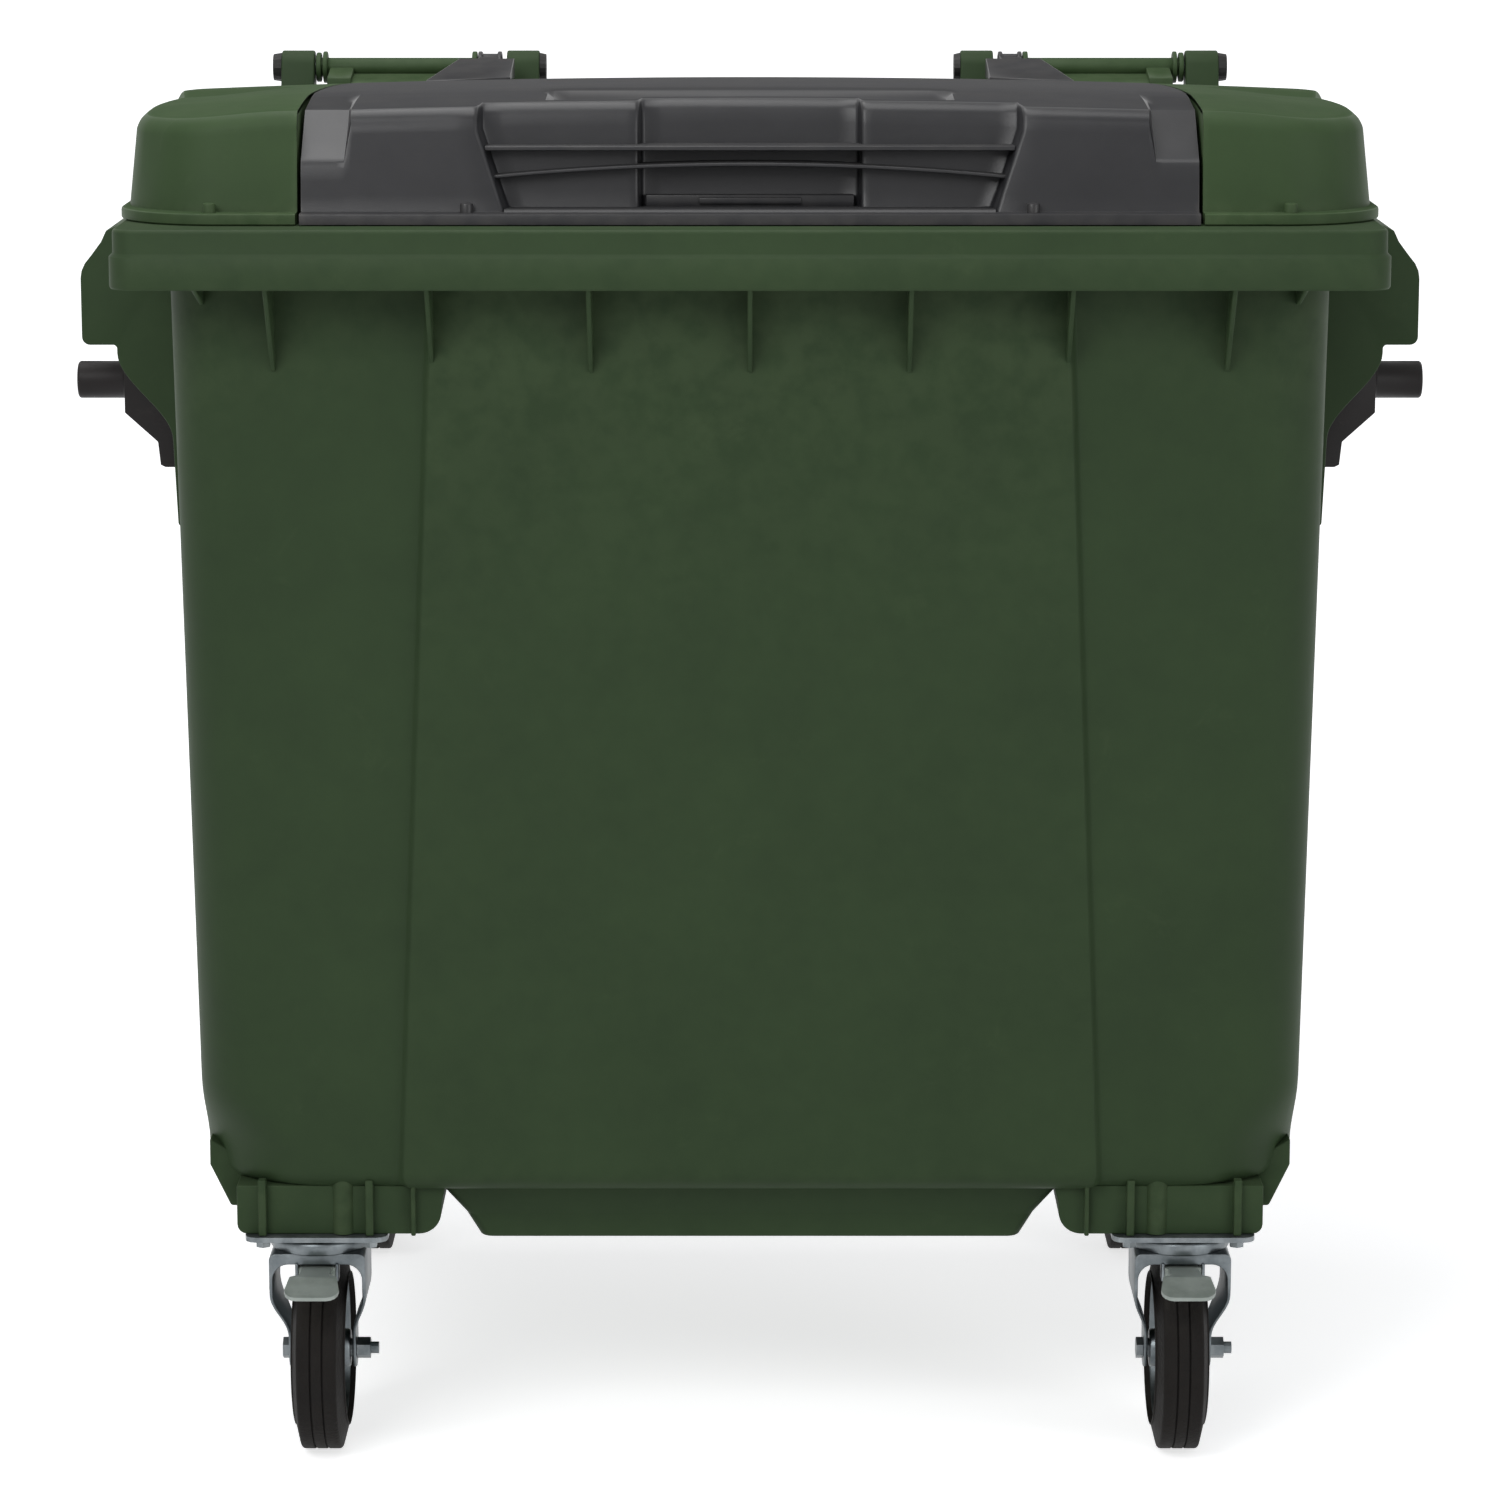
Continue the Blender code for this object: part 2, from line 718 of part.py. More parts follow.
def hoods():
    """Hood shells and cheek plates on both ends of the tub."""
    shells = []
    hollows = []
    for side in (1, -1):
        outer = hood_outline(0)
        inner = hood_outline(HOOD_WALL)
        cheek = cheek_outline()
        if side < 0:
            outer = mirrored(outer)
            inner = mirrored(inner)
            cheek = mirrored(cheek)
        shells.append(plate_xz(f"hood_{side}", outer, -HOOD_HALF_Y, HOOD_HALF_Y))
        inside = HOOD_HALF_Y - HOOD_WALL
        hollows.append(plate_xz(f"hood_hollow_{side}", inner, -inside, inside))
        for end in (-1, 1):
            middle = end * (HOOD_HALF_Y - HOOD_WALL / 2)
            thin = HOOD_WALL / 2 - GAP
            shells.append(plate_xz(f"cheek_{side}_{end}", cheek, middle - thin, middle + thin))
    return shells, hollows


def foot_outline():
    """Foot's front view in X and Z."""
    top = TUB_BOTTOM + BITE
    points = [(FOOT_IN, top), (FOOT_IN, FOOT_BOTTOM + FOOT_IN_ROUND)]
    points += arc(
        (FOOT_IN + FOOT_IN_ROUND, FOOT_BOTTOM + FOOT_IN_ROUND), FOOT_IN_ROUND, 200, 270, 3
    )
    points.append((FOOT_OUT - FOOT_CHAMFER, FOOT_BOTTOM))
    points.append((FOOT_OUT, FOOT_BOTTOM + FOOT_CHAMFER))
    points.append((FOOT_OUT, top))
    return points


def feet():
    """Caster feet with their shoulders, ribs, bosses, hollows and bolt holes."""
    adds = []
    hollows = []
    bosses = []
    holes = []
    top = TUB_BOTTOM + TUB_WALL * 2
    for x_side, y_side in ((-1, -1), (1, -1), (-1, 1), (1, 1)):
        tag = f"{x_side}_{y_side}"
        middle_y = CASTER_MIDDLE_Y + y_side * CASTER_PITCH_Y / 2
        reach = sorted((middle_y + y_side * FOOT_FRONT_REACH, middle_y - y_side * FOOT_BACK_REACH))
        outline = foot_outline()
        shoulder = [
            (FOOT_OUT - FOOT_WALL * 2, TUB_BOTTOM + BOTTOM_ROUND),
            (FOOT_OUT - FOOT_WALL * 2, SHOULDER_LOW),
            (SHOULDER_LOW_OUT, SHOULDER_LOW),
            (SHOULDER_OUT - BITE, SHOULDER_HIGH),
            (SHOULDER_OUT - BITE, TUB_BOTTOM + BOTTOM_ROUND * 2),
        ]
        if x_side < 0:
            outline = mirrored(outline)
            shoulder = mirrored(shoulder)
        adds.append(plate_xz(f"foot_{tag}", outline, reach[0], reach[1]))
        back = sorted((middle_y, middle_y - y_side * (FOOT_BACK_REACH - FOOT_WALL)))
        adds.append(plate_xz(f"shoulder_{tag}", shoulder, back[0], back[1]))
        ends = sorted((x_side * (FOOT_IN + FOOT_IN_ROUND), x_side * (FOOT_OUT - FOOT_CHAMFER)))
        low = (ends[0] + FOOT_WALL, reach[0] + FOOT_WALL, FOOT_BOTTOM - OVERRUN)
        high = (ends[1] - FOOT_WALL, reach[1] - FOOT_WALL, TUB_BOTTOM - FOOT_WALL)
        hollows.append(block(f"foot_hollow_{tag}", low, high))
        face = middle_y + y_side * FOOT_FRONT_REACH
        for share in (-1, 1):
            x = x_side * CASTER_X + share * PLATE_BOLT_X
            near = face - y_side * FOOT_WALL / 2
            edge = face + y_side * FOOT_RIB_PROUD
            spread = sorted((near, edge))
            thin = RIB_THICK / 2
            low = (x - thin, spread[0], FOOT_BOTTOM + GAP)
            adds.append(block(f"foot_rib_{tag}_{share}", low, (x + thin, spread[1], top)))
        thin_x = x_side * (FOOT_IN + FOOT_IN_ROUND + FOOT_WALL)
        spread = sorted((face - y_side * FOOT_WALL / 2, face + y_side * FOOT_RIB_PROUD))
        low = (thin_x - RIB_THICK / 2, spread[0], FOOT_BOTTOM - BAND_SLOPE)
        high = (thin_x + RIB_THICK / 2, spread[1], top - GAP)
        adds.append(block(f"foot_thin_rib_{tag}", low, high))
        boss_x = x_side * (CASTER_X - PLATE_BOLT_X / 2)
        boss_y = face - y_side * BOSS_RADIUS / 3
        low = (boss_x, boss_y, FOOT_BOTTOM + BITE)
        high = (boss_x, boss_y, top - GAP * 2)
        adds.append(rod(f"front_boss_{tag}", low, high, BOSS_RADIUS, BOLT_SIDES))
        for share_x in (-1, 1):
            for share_y in (-1, 1):
                x = x_side * CASTER_X + share_x * PLATE_BOLT_X
                y = middle_y + share_y * PLATE_BOLT_Y
                name = f"{tag}_{share_x}_{share_y}"
                low = (x, y, FOOT_BOTTOM + GAP * 2)
                high = (x, y, top + GAP)
                bosses.append(rod(f"boss_{name}", low, high, BOSS_RADIUS, BOLT_SIDES))
                start = (x, y, FOOT_BOTTOM - OVERRUN)
                end = (x, y, FOOT_BOTTOM + PLATE_BOLT_GRIP + GAP * 4)
                holes.append(rod(f"bolt_hole_{name}", start, end, PLATE_BOLT_RADIUS + GAP, BOLT_SIDES))
        low = (ends[0], middle_y - RIB_THICK / 2, FOOT_BOTTOM + GAP)
        high = (ends[1], middle_y + RIB_THICK / 2, top + GAP * 2)
        bosses.append(block(f"cross_rib_{tag}", low, high))
    return adds, hollows, bosses, holes


def trough(inset):
    """Trough along the middle of the floor, with a lip round its bottom."""
    reach = TROUGH_REACH - inset
    levels = (
        (TUB_BOTTOM + BITE + inset * 2, TROUGH_TOP_HALF),
        (TROUGH_LIP, TROUGH_LOW_HALF),
        (TROUGH_BOTTOM + inset, TROUGH_LIP_HALF),
    )
    rings = []
    for z, half in reversed(levels):
        slope = TROUGH_TOP_HALF - half
        front = CASTER_MIDDLE_Y - reach + slope / 2
        rear = CASTER_MIDDLE_Y + reach - slope / 2
        radius = CORNER_RADIUS / 2
        rings.append(at_height(rounded_outline(half - inset, front, rear, radius, radius, 3), z))
    return loft("trough" if not inset else "trough_hollow", rings)


def towers():
    """Four hinge towers rising from the rear of the rim."""
    pieces = []
    front = RIM_REAR - TOWER_BASE
    points = [(front, RIM_TOP - RIM_WALL / 2), (front, RIM_TOP + TOWER_BASE)]
    points += arc((HINGE_Y, HINGE_Z), TOWER_RADIUS, 170, -20, 10)
    points.append((RIM_REAR - RIM_WALL / 2, RIM_TOP - RIM_DROP / 2))
    points.append((RIM_REAR - RIM_WALL, RIM_TOP - RIM_WALL / 2))
    for side in (1, -1):
        for low, high in (OUTER_TOWER, INNER_TOWER):
            ends = sorted((side * low, side * high))
            pieces.append(plate_yz(f"tower_{side}_{low}", points, ends[0], ends[1]))
    return pieces


def hinge_bore(name, ends, radius):
    low = (ends[0] - OVERRUN, HINGE_Y, HINGE_Z)
    high = (ends[1] + OVERRUN, HINGE_Y, HINGE_Z)
    return rod(name, low, high, radius, SMALL_SIDES)


def make_tub(material):
    tub = loft("tub_solid", tub_rings(0, RIM_TOP - RIM_WALL / 4))
    slab = cut(rim_solid(), [rim_channel()])
    shells, hollows = hoods()
    foot_adds, foot_hollows, bosses, holes = feet()
    join(tub, [slab])
    join(tub, shells)
    cut(tub, hollows)
    join(tub, front_ribs() + side_ribs())
    join(tub, towers())
    join(tub, foot_adds)
    join(tub, [trough(0)])
    cut(tub, foot_hollows)
    join(tub, bosses)
    cut(tub, [loft("tub_inside", tub_rings(TUB_WALL, RIM_TOP + OVERRUN)), trough(TUB_WALL)])
    cut(tub, holes)
    bores = []
    for side in (1, -1):
        for low, high in (OUTER_TOWER, INNER_TOWER):
            ends = sorted((side * low, side * high))
            bores.append(hinge_bore(f"bore_{side}_{low}", ends, HINGE_PIN_RADIUS + GAP))
    cut(tub, bores)
    return make_part(tub, "tub", material)


def make_trunnion(side, material):
    """Steel pin on its bracket, seated on the side wall between the cheeks."""
    name = "trunnion_right" if side > 0 else "trunnion_left"
    seat = max(side_wall(TRUNNION_HEIGHT + BRACKET_UP), side_wall(TRUNNION_HEIGHT - BRACKET_DOWN)) + GAP
    wall = side_wall(TRUNNION_HEIGHT)
    root = wall + TRUNNION_ROOT_REACH
    nose = wall + BRACKET_NOSE_REACH
    toe = wall + BRACKET_TOE_REACH
    points = [
        (seat, TRUNNION_HEIGHT + BRACKET_UP),
        (root, TRUNNION_HEIGHT + BRACKET_UP),
        (root + TRUNNION_RADIUS, TRUNNION_HEIGHT + TRUNNION_RADIUS + TRUNNION_EDGE),
        (nose, TRUNNION_HEIGHT + TRUNNION_RADIUS),
        (nose, TRUNNION_HEIGHT - BRACKET_UP),
        (toe + TRUNNION_EDGE, TRUNNION_HEIGHT - BRACKET_UP * 2),
        (toe, TRUNNION_HEIGHT - BRACKET_DOWN + TRUNNION_EDGE),
        (toe - TRUNNION_EDGE * 2, TRUNNION_HEIGHT - BRACKET_DOWN),
        (seat, TRUNNION_HEIGHT - BRACKET_DOWN),
    ]
    if side < 0:
        points = mirrored(points)
    trunnion = plate_xz(f"{name}_bracket", points, -BRACKET_HALF_Y, BRACKET_HALF_Y)
    tip = TRUNNION_TIP
    start = (side * root, 0, TRUNNION_HEIGHT)
    shank = rod(f"{name}_pin", start, (side * (tip - TRUNNION_EDGE), 0, TRUNNION_HEIGHT), TRUNNION_RADIUS)
    end = rod(
        f"{name}_end",
        (side * (tip - TRUNNION_EDGE - GAP), 0, TRUNNION_HEIGHT),
        (side * tip, 0, TRUNNION_HEIGHT),
        TRUNNION_RADIUS,
        end_radius=TRUNNION_RADIUS - TRUNNION_EDGE,
    )
    join(trunnion, [shank, end])
    return make_part(trunnion, name, material, (side * tip, 0, TRUNNION_HEIGHT))


def make_hinge_hardware(side, pin_material, cap_material):
    """Hinge pin through two towers, with a cap on each end."""
    word = "right" if side > 0 else "left"
    inner_end = INNER_TOWER[0]
    outer_end = OUTER_TOWER[1]
    centre = (side * (inner_end + outer_end) / 2, HINGE_Y, HINGE_Z)
    start = (side * inner_end, HINGE_Y, HINGE_Z)
    end = (side * outer_end, HINGE_Y, HINGE_Z)
    pin = rod(f"{word}_pin", start, end, HINGE_PIN_RADIUS, SMALL_SIDES)
    make_part(pin, f"hinge_pin_{word}", pin_material, centre, 40)
    caps = (
        ("outer", outer_end + GAP, outer_end + GAP + OUTER_CAP_WIDTH),
        ("inner", inner_end - GAP, inner_end - GAP - INNER_CAP_WIDTH),
    )
    for place, near, far in caps:
        cap = rod(
            f"{word}_{place}_cap",
            (side * near, HINGE_Y, HINGE_Z),
            (side * far, HINGE_Y, HINGE_Z),
            CAP_RADIUS,
            end_radius=CAP_RADIUS - BITE,
        )
        make_part(cap, f"hinge_cap_{word}_{place}", cap_material, (side * near, HINGE_Y, HINGE_Z), 40)


def crest(x, y):
    """Height of the lids' crowned top."""
    if y > CREST_Y:
        fall = CREST_FALL_REAR * ((y - CREST_Y) / CREST_SPAN_REAR) ** CREST_REAR_POWER
    else:
        fall = CREST_FALL_FRONT * ((CREST_Y - y) / CREST_SPAN_FRONT) ** CREST_FRONT_POWER
    return CREST_Z - CREST_FALL_X * (x / CREST_SPAN_X) ** 2 - fall


def lid_section(half, y, base, inset, side_lean, shoulder, lean=0):
    """Section of a lid across X, from its base up over the crown."""
    top_half = half - side_lean
    edge = crest(top_half - shoulder, y) - inset
    low_edge = edge - shoulder
    points = [(-half, base), (-top_half, low_edge)]
    points += [(-top_half + shoulder * SHOULDER_SHARE, edge - shoulder * SHOULDER_SHARE)]
    count = 8
    for index in range(count + 1):
        x = (top_half - shoulder) * (2 * index / count - 1)
        points.append((x, crest(x, y) - inset))
    points += [(top_half - shoulder * SHOULDER_SHARE, edge - shoulder * SHOULDER_SHARE)]
    points += [(top_half, low_edge), (half, base)]
    ring = []
    for x, z in points:
        slope = lean * (z - FLANGE_HIGH) / (CREST_Z - FLANGE_HIGH)
        ring.append((x, y + slope, z))
    return ring


def lid_solid(name, half, front, rear, base, inset, corner, rear_corner, side_lean, shoulders):
    """Crowned lid body with corners rounded in plan and a leaning front."""
    half = half - inset
    front = front + inset
    rear = rear - inset
    corner = max(corner - inset, LID_WALL / 2)
    rear_corner = max(rear_corner - inset, LID_WALL / 2)
    front_shoulder, rear_shoulder = shoulders
    rings = []
    for angle in (0, 22, 45, 68, 90):
        turn = math.radians(angle)
        y = front + corner * (1 - math.cos(turn))
        x = half - corner * (1 - math.sin(turn))
        lean = LID_LEAN * (1 - angle / 90)
        rings.append(lid_section(x, y, base, inset, side_lean, front_shoulder, lean))
    places = (
        (CREST_Y, front_shoulder),
        ((CREST_Y + SHOULDER_STEP_Y) / 2, front_shoulder),
        (SHOULDER_STEP_Y, front_shoulder),
        (SHOULDER_STEP_Y + SHOULDER_STEP, rear_shoulder),
        ((rear - rear_corner) / 2, rear_shoulder),
    )
    for y, shoulder in places:
        rings.append(lid_section(half, y, base, inset, side_lean, shoulder))
    for angle in (90, 45, 0):
        turn = math.radians(angle)
        y = rear - rear_corner * (1 - math.cos(turn))
        x = half - rear_corner * (1 - math.sin(turn))
        rings.append(lid_section(x, y, base, inset, side_lean, rear_shoulder))
    return loft(name, rings)


def flange(name, half, front, rear, corner, rear_corner):
    points = rounded_outline(half, -front, rear, corner, rear_corner)
    return loft(name, [at_height(points, FLANGE_LOW), at_height(points, FLANGE_HIGH)])


def ledge_bumps(x, word):
    """Small round bumps on the front ledge."""
    bumps = []
    for side in (1, -1):
        low = (side * x, -BUMP_Y, FLANGE_HIGH - BITE)
        high = (side * x, -BUMP_Y, FLANGE_HIGH + BUMP_HEIGHT)
        bumps.append(rod(f"{word}_bump_{side}", low, high, BUMP_RADIUS, SMALL_SIDES))
    return bumps


def outer_arm(side):
    """Web from the rear of the large lid to its hinge tube."""
    low_y = LID_REAR - LID_WALL
    strip = crest(OUTER_TUBE[0], low_y)
    points = [
        (low_y, strip - LID_WALL * 6),
        (HINGE_Y, HINGE_Z - TUBE_RADIUS * TUBE_SHARE),
        (HINGE_Y, HINGE_Z + TUBE_RADIUS * TUBE_SHARE),
        (low_y, strip - LID_WALL * 2),
    ]
    ends = sorted((side * (OUTER_TUBE[0] + LID_SHOULDER), side * (OUTER_TUBE[1] - LID_SHOULDER / 2)))
    return plate_yz(f"outer_arm_{side}", points, ends[0], ends[1])


def make_outer_lid(material):
    shoulders = (FRONT_SHOULDER, REAR_SHOULDER)
    body = lid_solid(
        "outer_body", LID_HALF_X, -LID_FRONT, LID_REAR, FLANGE_LOW + BITE, 0,
        LID_CORNER, LID_REAR_CORNER, LID_SIDE_LEAN, shoulders,
    )
    rim = flange("outer_flange", FLANGE_HALF_X, FLANGE_FRONT, FLANGE_REAR, LID_CORNER, LID_REAR_CORNER)
    join(body, [rim])
    hollow = lid_solid(
        "outer_hollow", LID_HALF_X, -LID_FRONT, LID_REAR, FLANGE_LOW - OVERRUN, LID_WALL,
        LID_CORNER, LID_REAR_CORNER, LID_SIDE_LEAN, shoulders,
    )
    inner_wall = WINDOW_HALF_X + LID_WALL
    keep_low = (-inner_wall, -LID_FRONT - OVERRUN, FLANGE_LOW)
    keep_high = (inner_wall, WINDOW_REAR + LID_WALL, CREST_Z + OVERRUN)
    cut(hollow, [block("window_walls", keep_low, keep_high)])
    cut(body, [hollow])
    front = -FLANGE_FRONT - OVERRUN
    window_high = (WINDOW_HALF_X, WINDOW_REAR, CREST_Z + OVERRUN)
    cut(body, [block("window", (-WINDOW_HALF_X, front, FLANGE_LOW - OVERRUN), window_high)])
    bar_low = (-WINDOW_HALF_X - BITE, -BAR_FRONT, BAR_LOW)
    bar = block("front_bar", bar_low, (WINDOW_HALF_X + BITE, -BAR_REAR, BAR_HIGH))
    adds = [bar] + ledge_bumps(GREEN_BUMP_X, "green")
    bores = []
    for side in (1, -1):
        adds.append(outer_arm(side))
        pieces = ((OUTER_TUBE, TUBE_RADIUS), (OUTER_DISC, DISC_RADIUS), (MIDDLE_DISC, DISC_RADIUS))
        for ends, radius in pieces:
            low = (side * ends[0], HINGE_Y, HINGE_Z)
            high = (side * ends[1], HINGE_Y, HINGE_Z)
            adds.append(rod(f"outer_ring_{side}_{ends[0]}", low, high, radius))
        ends = sorted((side * MIDDLE_DISC[0], side * OUTER_DISC[1]))
        bores.append(hinge_bore(f"outer_bore_{side}", ends, HINGE_PIN_RADIUS + GAP))
    join(body, adds)
    cut(body, bores)
    return make_part(body, "outer_lid", material, (0, HINGE_Y, HINGE_Z))


def grip_half(z):
    """Half width of the grip pocket at a height."""
    share = (z - GRIP_LOW) / (GRIP_TOP - GRIP_LOW)
    return between(GRIP_LOW_HALF, GRIP_TOP_HALF, share)


def grip_plate(name, half, grown, back):
    """Pocket outline, or the wider one of its walls, from the front to a depth."""
    low = GRIP_LOW - grown
    high = CREST_Z + OVERRUN
    low_half = min(grip_half(low), half) + grown
    high_half = min(grip_half(high), half) + grown
    points = [(-low_half, low), (low_half, low), (high_half, high), (-high_half, high)]
    return plate_xz(name, points, -FLANGE_FRONT - OVERRUN, -back + grown)


def grip_walls():
    """Solids that are kept out of the hollow, so that they stay as the grip's walls."""
    sides = grip_plate("side_walls", CREST_Z, LID_WALL, GRIP_BLOCK_FRONT)
    middle = grip_plate("middle_walls", GRIP_BLOCK_IN, LID_WALL, GRIP_BACK)
    return [sides, middle]


def grip_pockets():
    """Side panels and the deeper middle panel of the grip, as cutters."""
    sides = grip_plate("side_pocket", CREST_Z, 0, GRIP_BLOCK_FRONT)
    middle = grip_plate("middle_pocket", GRIP_BLOCK_IN, 0, GRIP_BACK)
    return [sides, middle]


def grip_rails():
    """Straight rail and bowed rail across the grip."""
    half = GRIP_RAIL_THICK / 2
    reach = grip_half(GRIP_RAIL_Z) + LID_WALL / 2
    low = (-reach, -GRIP_FRONT, GRIP_RAIL_Z - half)
    high = (reach, -GRIP_BLOCK_FRONT + BITE, GRIP_RAIL_Z + half)
    rails = [block("grip_rail", low, high)]
    reach = grip_half(GRIP_BOW_END_Z) + LID_WALL / 2
    bow = []
    steps = 8
    for step in range(steps + 1):
        share = 2 * step / steps - 1
        bow.append((share * reach, GRIP_BOW_END_Z + GRIP_BOW_RISE * (1 - share * share)))
    under = [(x, z - GRIP_BOW_THICK) for x, z in reversed(bow)]
    rails.append(plate_xz("grip_bow", bow + under, -GRIP_FRONT, -GRIP_BLOCK_FRONT + BITE * 2))
    return rails


def inner_arm(side):
    """Arm of the small lid over the rear strip to its hinge barrel."""
    low_y = WINDOW_REAR - LID_CORNER / 2
    strip_rear = crest(INNER_BARREL[0], LID_REAR) + LID_WALL
    points = [
        (low_y, crest(0, low_y) - LID_WALL * 3),
        (WINDOW_REAR - LID_WALL, crest(0, low_y) - LID_WALL * 3),
        (WINDOW_REAR - LID_WALL, crest(INNER_BARREL[0], WINDOW_REAR) + BITE),
        (LID_REAR + LID_WALL, strip_rear - BITE),
        (HINGE_Y - TUBE_RADIUS * BARREL_BACK_SHARE, HINGE_Z - TUBE_RADIUS * BARREL_LOW_SHARE),
        (HINGE_Y, HINGE_Z + TUBE_RADIUS * TUBE_SHARE),
        (low_y, crest(INNER_BARREL[0], low_y) + LID_WALL),
    ]
    ends = sorted((side * INNER_BARREL[0], side * INNER_BARREL[1]))
    return plate_yz(f"inner_arm_{side}", points, ends[0], ends[1])


def make_inner_lid(material):
    half = INNER_LID_HALF_X
    shoulders = (SMALL_SHOULDER, SMALL_SHOULDER)
    body = lid_solid(
        "inner_body", half, -LID_FRONT, INNER_LID_REAR, INNER_SIDE_LOW, 0,
        SMALL_CORNER / 3, SMALL_CORNER / 3, LID_GAP, shoulders,
    )
    front_low = (-half, -FLANGE_FRONT, FLANGE_LOW)
    join(body, [block("inner_flange", front_low, (half, -LID_FRONT + LID_LEAN, FLANGE_HIGH))])
    skirt_high = (half, -LID_FRONT + LID_LEAN, INNER_SIDE_LOW + BITE)
    join(body, [block("inner_skirt", (-half, -LID_FRONT, FLANGE_LOW + BITE), skirt_high)])
    hollow = lid_solid(
        "inner_hollow", half, -LID_FRONT + LID_LEAN / 2, INNER_LID_REAR, FLANGE_LOW - OVERRUN, LID_WALL,
        SMALL_CORNER / 3, SMALL_CORNER / 3, LID_GAP, shoulders,
    )
    cut(hollow, grip_walls())
    cut(body, [hollow])
    cut(body, grip_pockets())
    adds = grip_rails() + ledge_bumps(GREY_BUMP_X, "grey")
    bores = []
    for side in (1, -1):
        adds.append(inner_arm(side))
        low = (side * INNER_BARREL[0], HINGE_Y, HINGE_Z)
        high = (side * INNER_BARREL[1], HINGE_Y, HINGE_Z)
        adds.append(rod(f"inner_barrel_{side}", low, high, TUBE_RADIUS))
        ends = sorted((side * INNER_BARREL[0], side * INNER_BARREL[1]))
        bores.append(hinge_bore(f"inner_bore_{side}", ends, HINGE_PIN_RADIUS + GAP))
    join(body, adds)
    cut(body, bores)
    return make_part(body, "inner_lid", material, (0, HINGE_Y, HINGE_Z))


def caster_plate(name, x, y, material):
    """Top plate with its bearing dome and riveted kingpin."""
    points = rounded_outline(PLATE_HALF_X, -PLATE_HALF_Y, PLATE_HALF_Y, PLATE_CORNER, PLATE_CORNER, 3)
    top = FOOT_BOTTOM - GAP
    low = top - PLATE_THICK
    plate = plate_xy(f"{name}_blank", [(x + u, y + v) for u, v in points], low, top)
    dome_low = low - PLATE_DOME_DEPTH
    head_top = FORK_CROWN - GAP
    head_low = head_top - KINGPIN_HEAD
    adds = [
        rod(f"{name}_dome", (x, y, dome_low), (x, y, low + BITE), PLATE_DOME_LOW, end_radius=PLATE_DOME),
        rod(f"{name}_kingpin", (x, y, head_low + BITE), (x, y, low), KINGPIN_RADIUS, SMALL_SIDES),
        rod(f"{name}_rivet", (x, y, head_low), (x, y, head_top), KINGPIN_HEAD_RADIUS, BOLT_SIDES),
    ]
    holes = []
    for u in (-PLATE_BOLT_X, PLATE_BOLT_X):
        for v in (-PLATE_BOLT_Y, PLATE_BOLT_Y):
            start = (x + u, y + v, low - OVERRUN)
            end = (x + u, y + v, top + OVERRUN)
            holes.append(rod(f"{name}_hole_{u}_{v}", start, end, PLATE_BOLT_RADIUS + GAP, BOLT_SIDES))
    join(plate, adds)
    cut(plate, holes)
    make_part(plate, name, material, (x, y, FOOT_BOTTOM))


def plate_bolts(place, x, y, material):
    """Four hexagon bolts up through the plate into the foot's bosses."""
    under = FOOT_BOTTOM - GAP - PLATE_THICK - GAP
    number = 0
    for v in (-PLATE_BOLT_Y, PLATE_BOLT_Y):
        for u in (-PLATE_BOLT_X, PLATE_BOLT_X):
            number += 1
            centre = Vector((x + u, y + v, under))
            name = f"plate_bolt_{place}_{number}"
            head_radius = PLATE_BOLT_AF / math.sqrt(3)
            bolt = rod(f"{name}_head", centre - Vector((0, 0, PLATE_BOLT_HEAD)), centre, head_radius, 6)
            tip = Vector((x + u, y + v, FOOT_BOTTOM + PLATE_BOLT_GRIP))
            shank = rod(f"{name}_shank", centre - Vector((0, 0, BITE)), tip, PLATE_BOLT_RADIUS, BOLT_SIDES)
            join(bolt, [shank])
            make_part(bolt, name, material, centre)


def fork_front_outline():
    """Inverted U of the fork in X and Z, legs drawn in towards the axle."""
    top = RING_LOW + BITE
    low = WHEEL_RADIUS - FORK_EYE_RADIUS
    outer = [(FORK_LOW_HALF_X, low), (FORK_LOW_HALF_X, FORK_BEND_LOW), (FORK_HALF_X, FORK_BEND_TOP)]
    outer += arc((FORK_HALF_X - FORK_THICK, top - FORK_THICK), FORK_THICK, 0, 90, 2)
    inner_half = FORK_HALF_X - FORK_THICK
    inner = arc((inner_half - FORK_CORNER, FORK_CROWN - FORK_CORNER), FORK_CORNER, 90, 0, 4)
    inner += [
        (inner_half, FORK_BEND_TOP),
        (FORK_LOW_HALF_X - FORK_THICK, FORK_BEND_LOW),
        (FORK_LOW_HALF_X - FORK_THICK, low),
    ]
    right = outer[::-1]
    left = [(-x, z) for x, z in outer]
    inner_left = [(-x, z) for x, z in inner]
    return left + right + inner[::-1] + inner_left


def fork_side_outline():
    """Fork's side view in Y and Z about the swivel axis."""
    low = WHEEL_RADIUS
    points = arc((TRAIL, low), FORK_EYE_RADIUS, 180, 360, 8)
    points.append((FORK_TOP_HALF_Y, FORK_BEND_TOP + FORK_EYE_RADIUS / 2))
    points.append((FORK_TOP_HALF_Y, RING_LOW + OVERRUN))
    points.append((-FORK_TOP_HALF_Y, RING_LOW + OVERRUN))
    points.append((-FORK_TOP_HALF_Y, FORK_BEND_TOP + FORK_EYE_RADIUS))
    return points


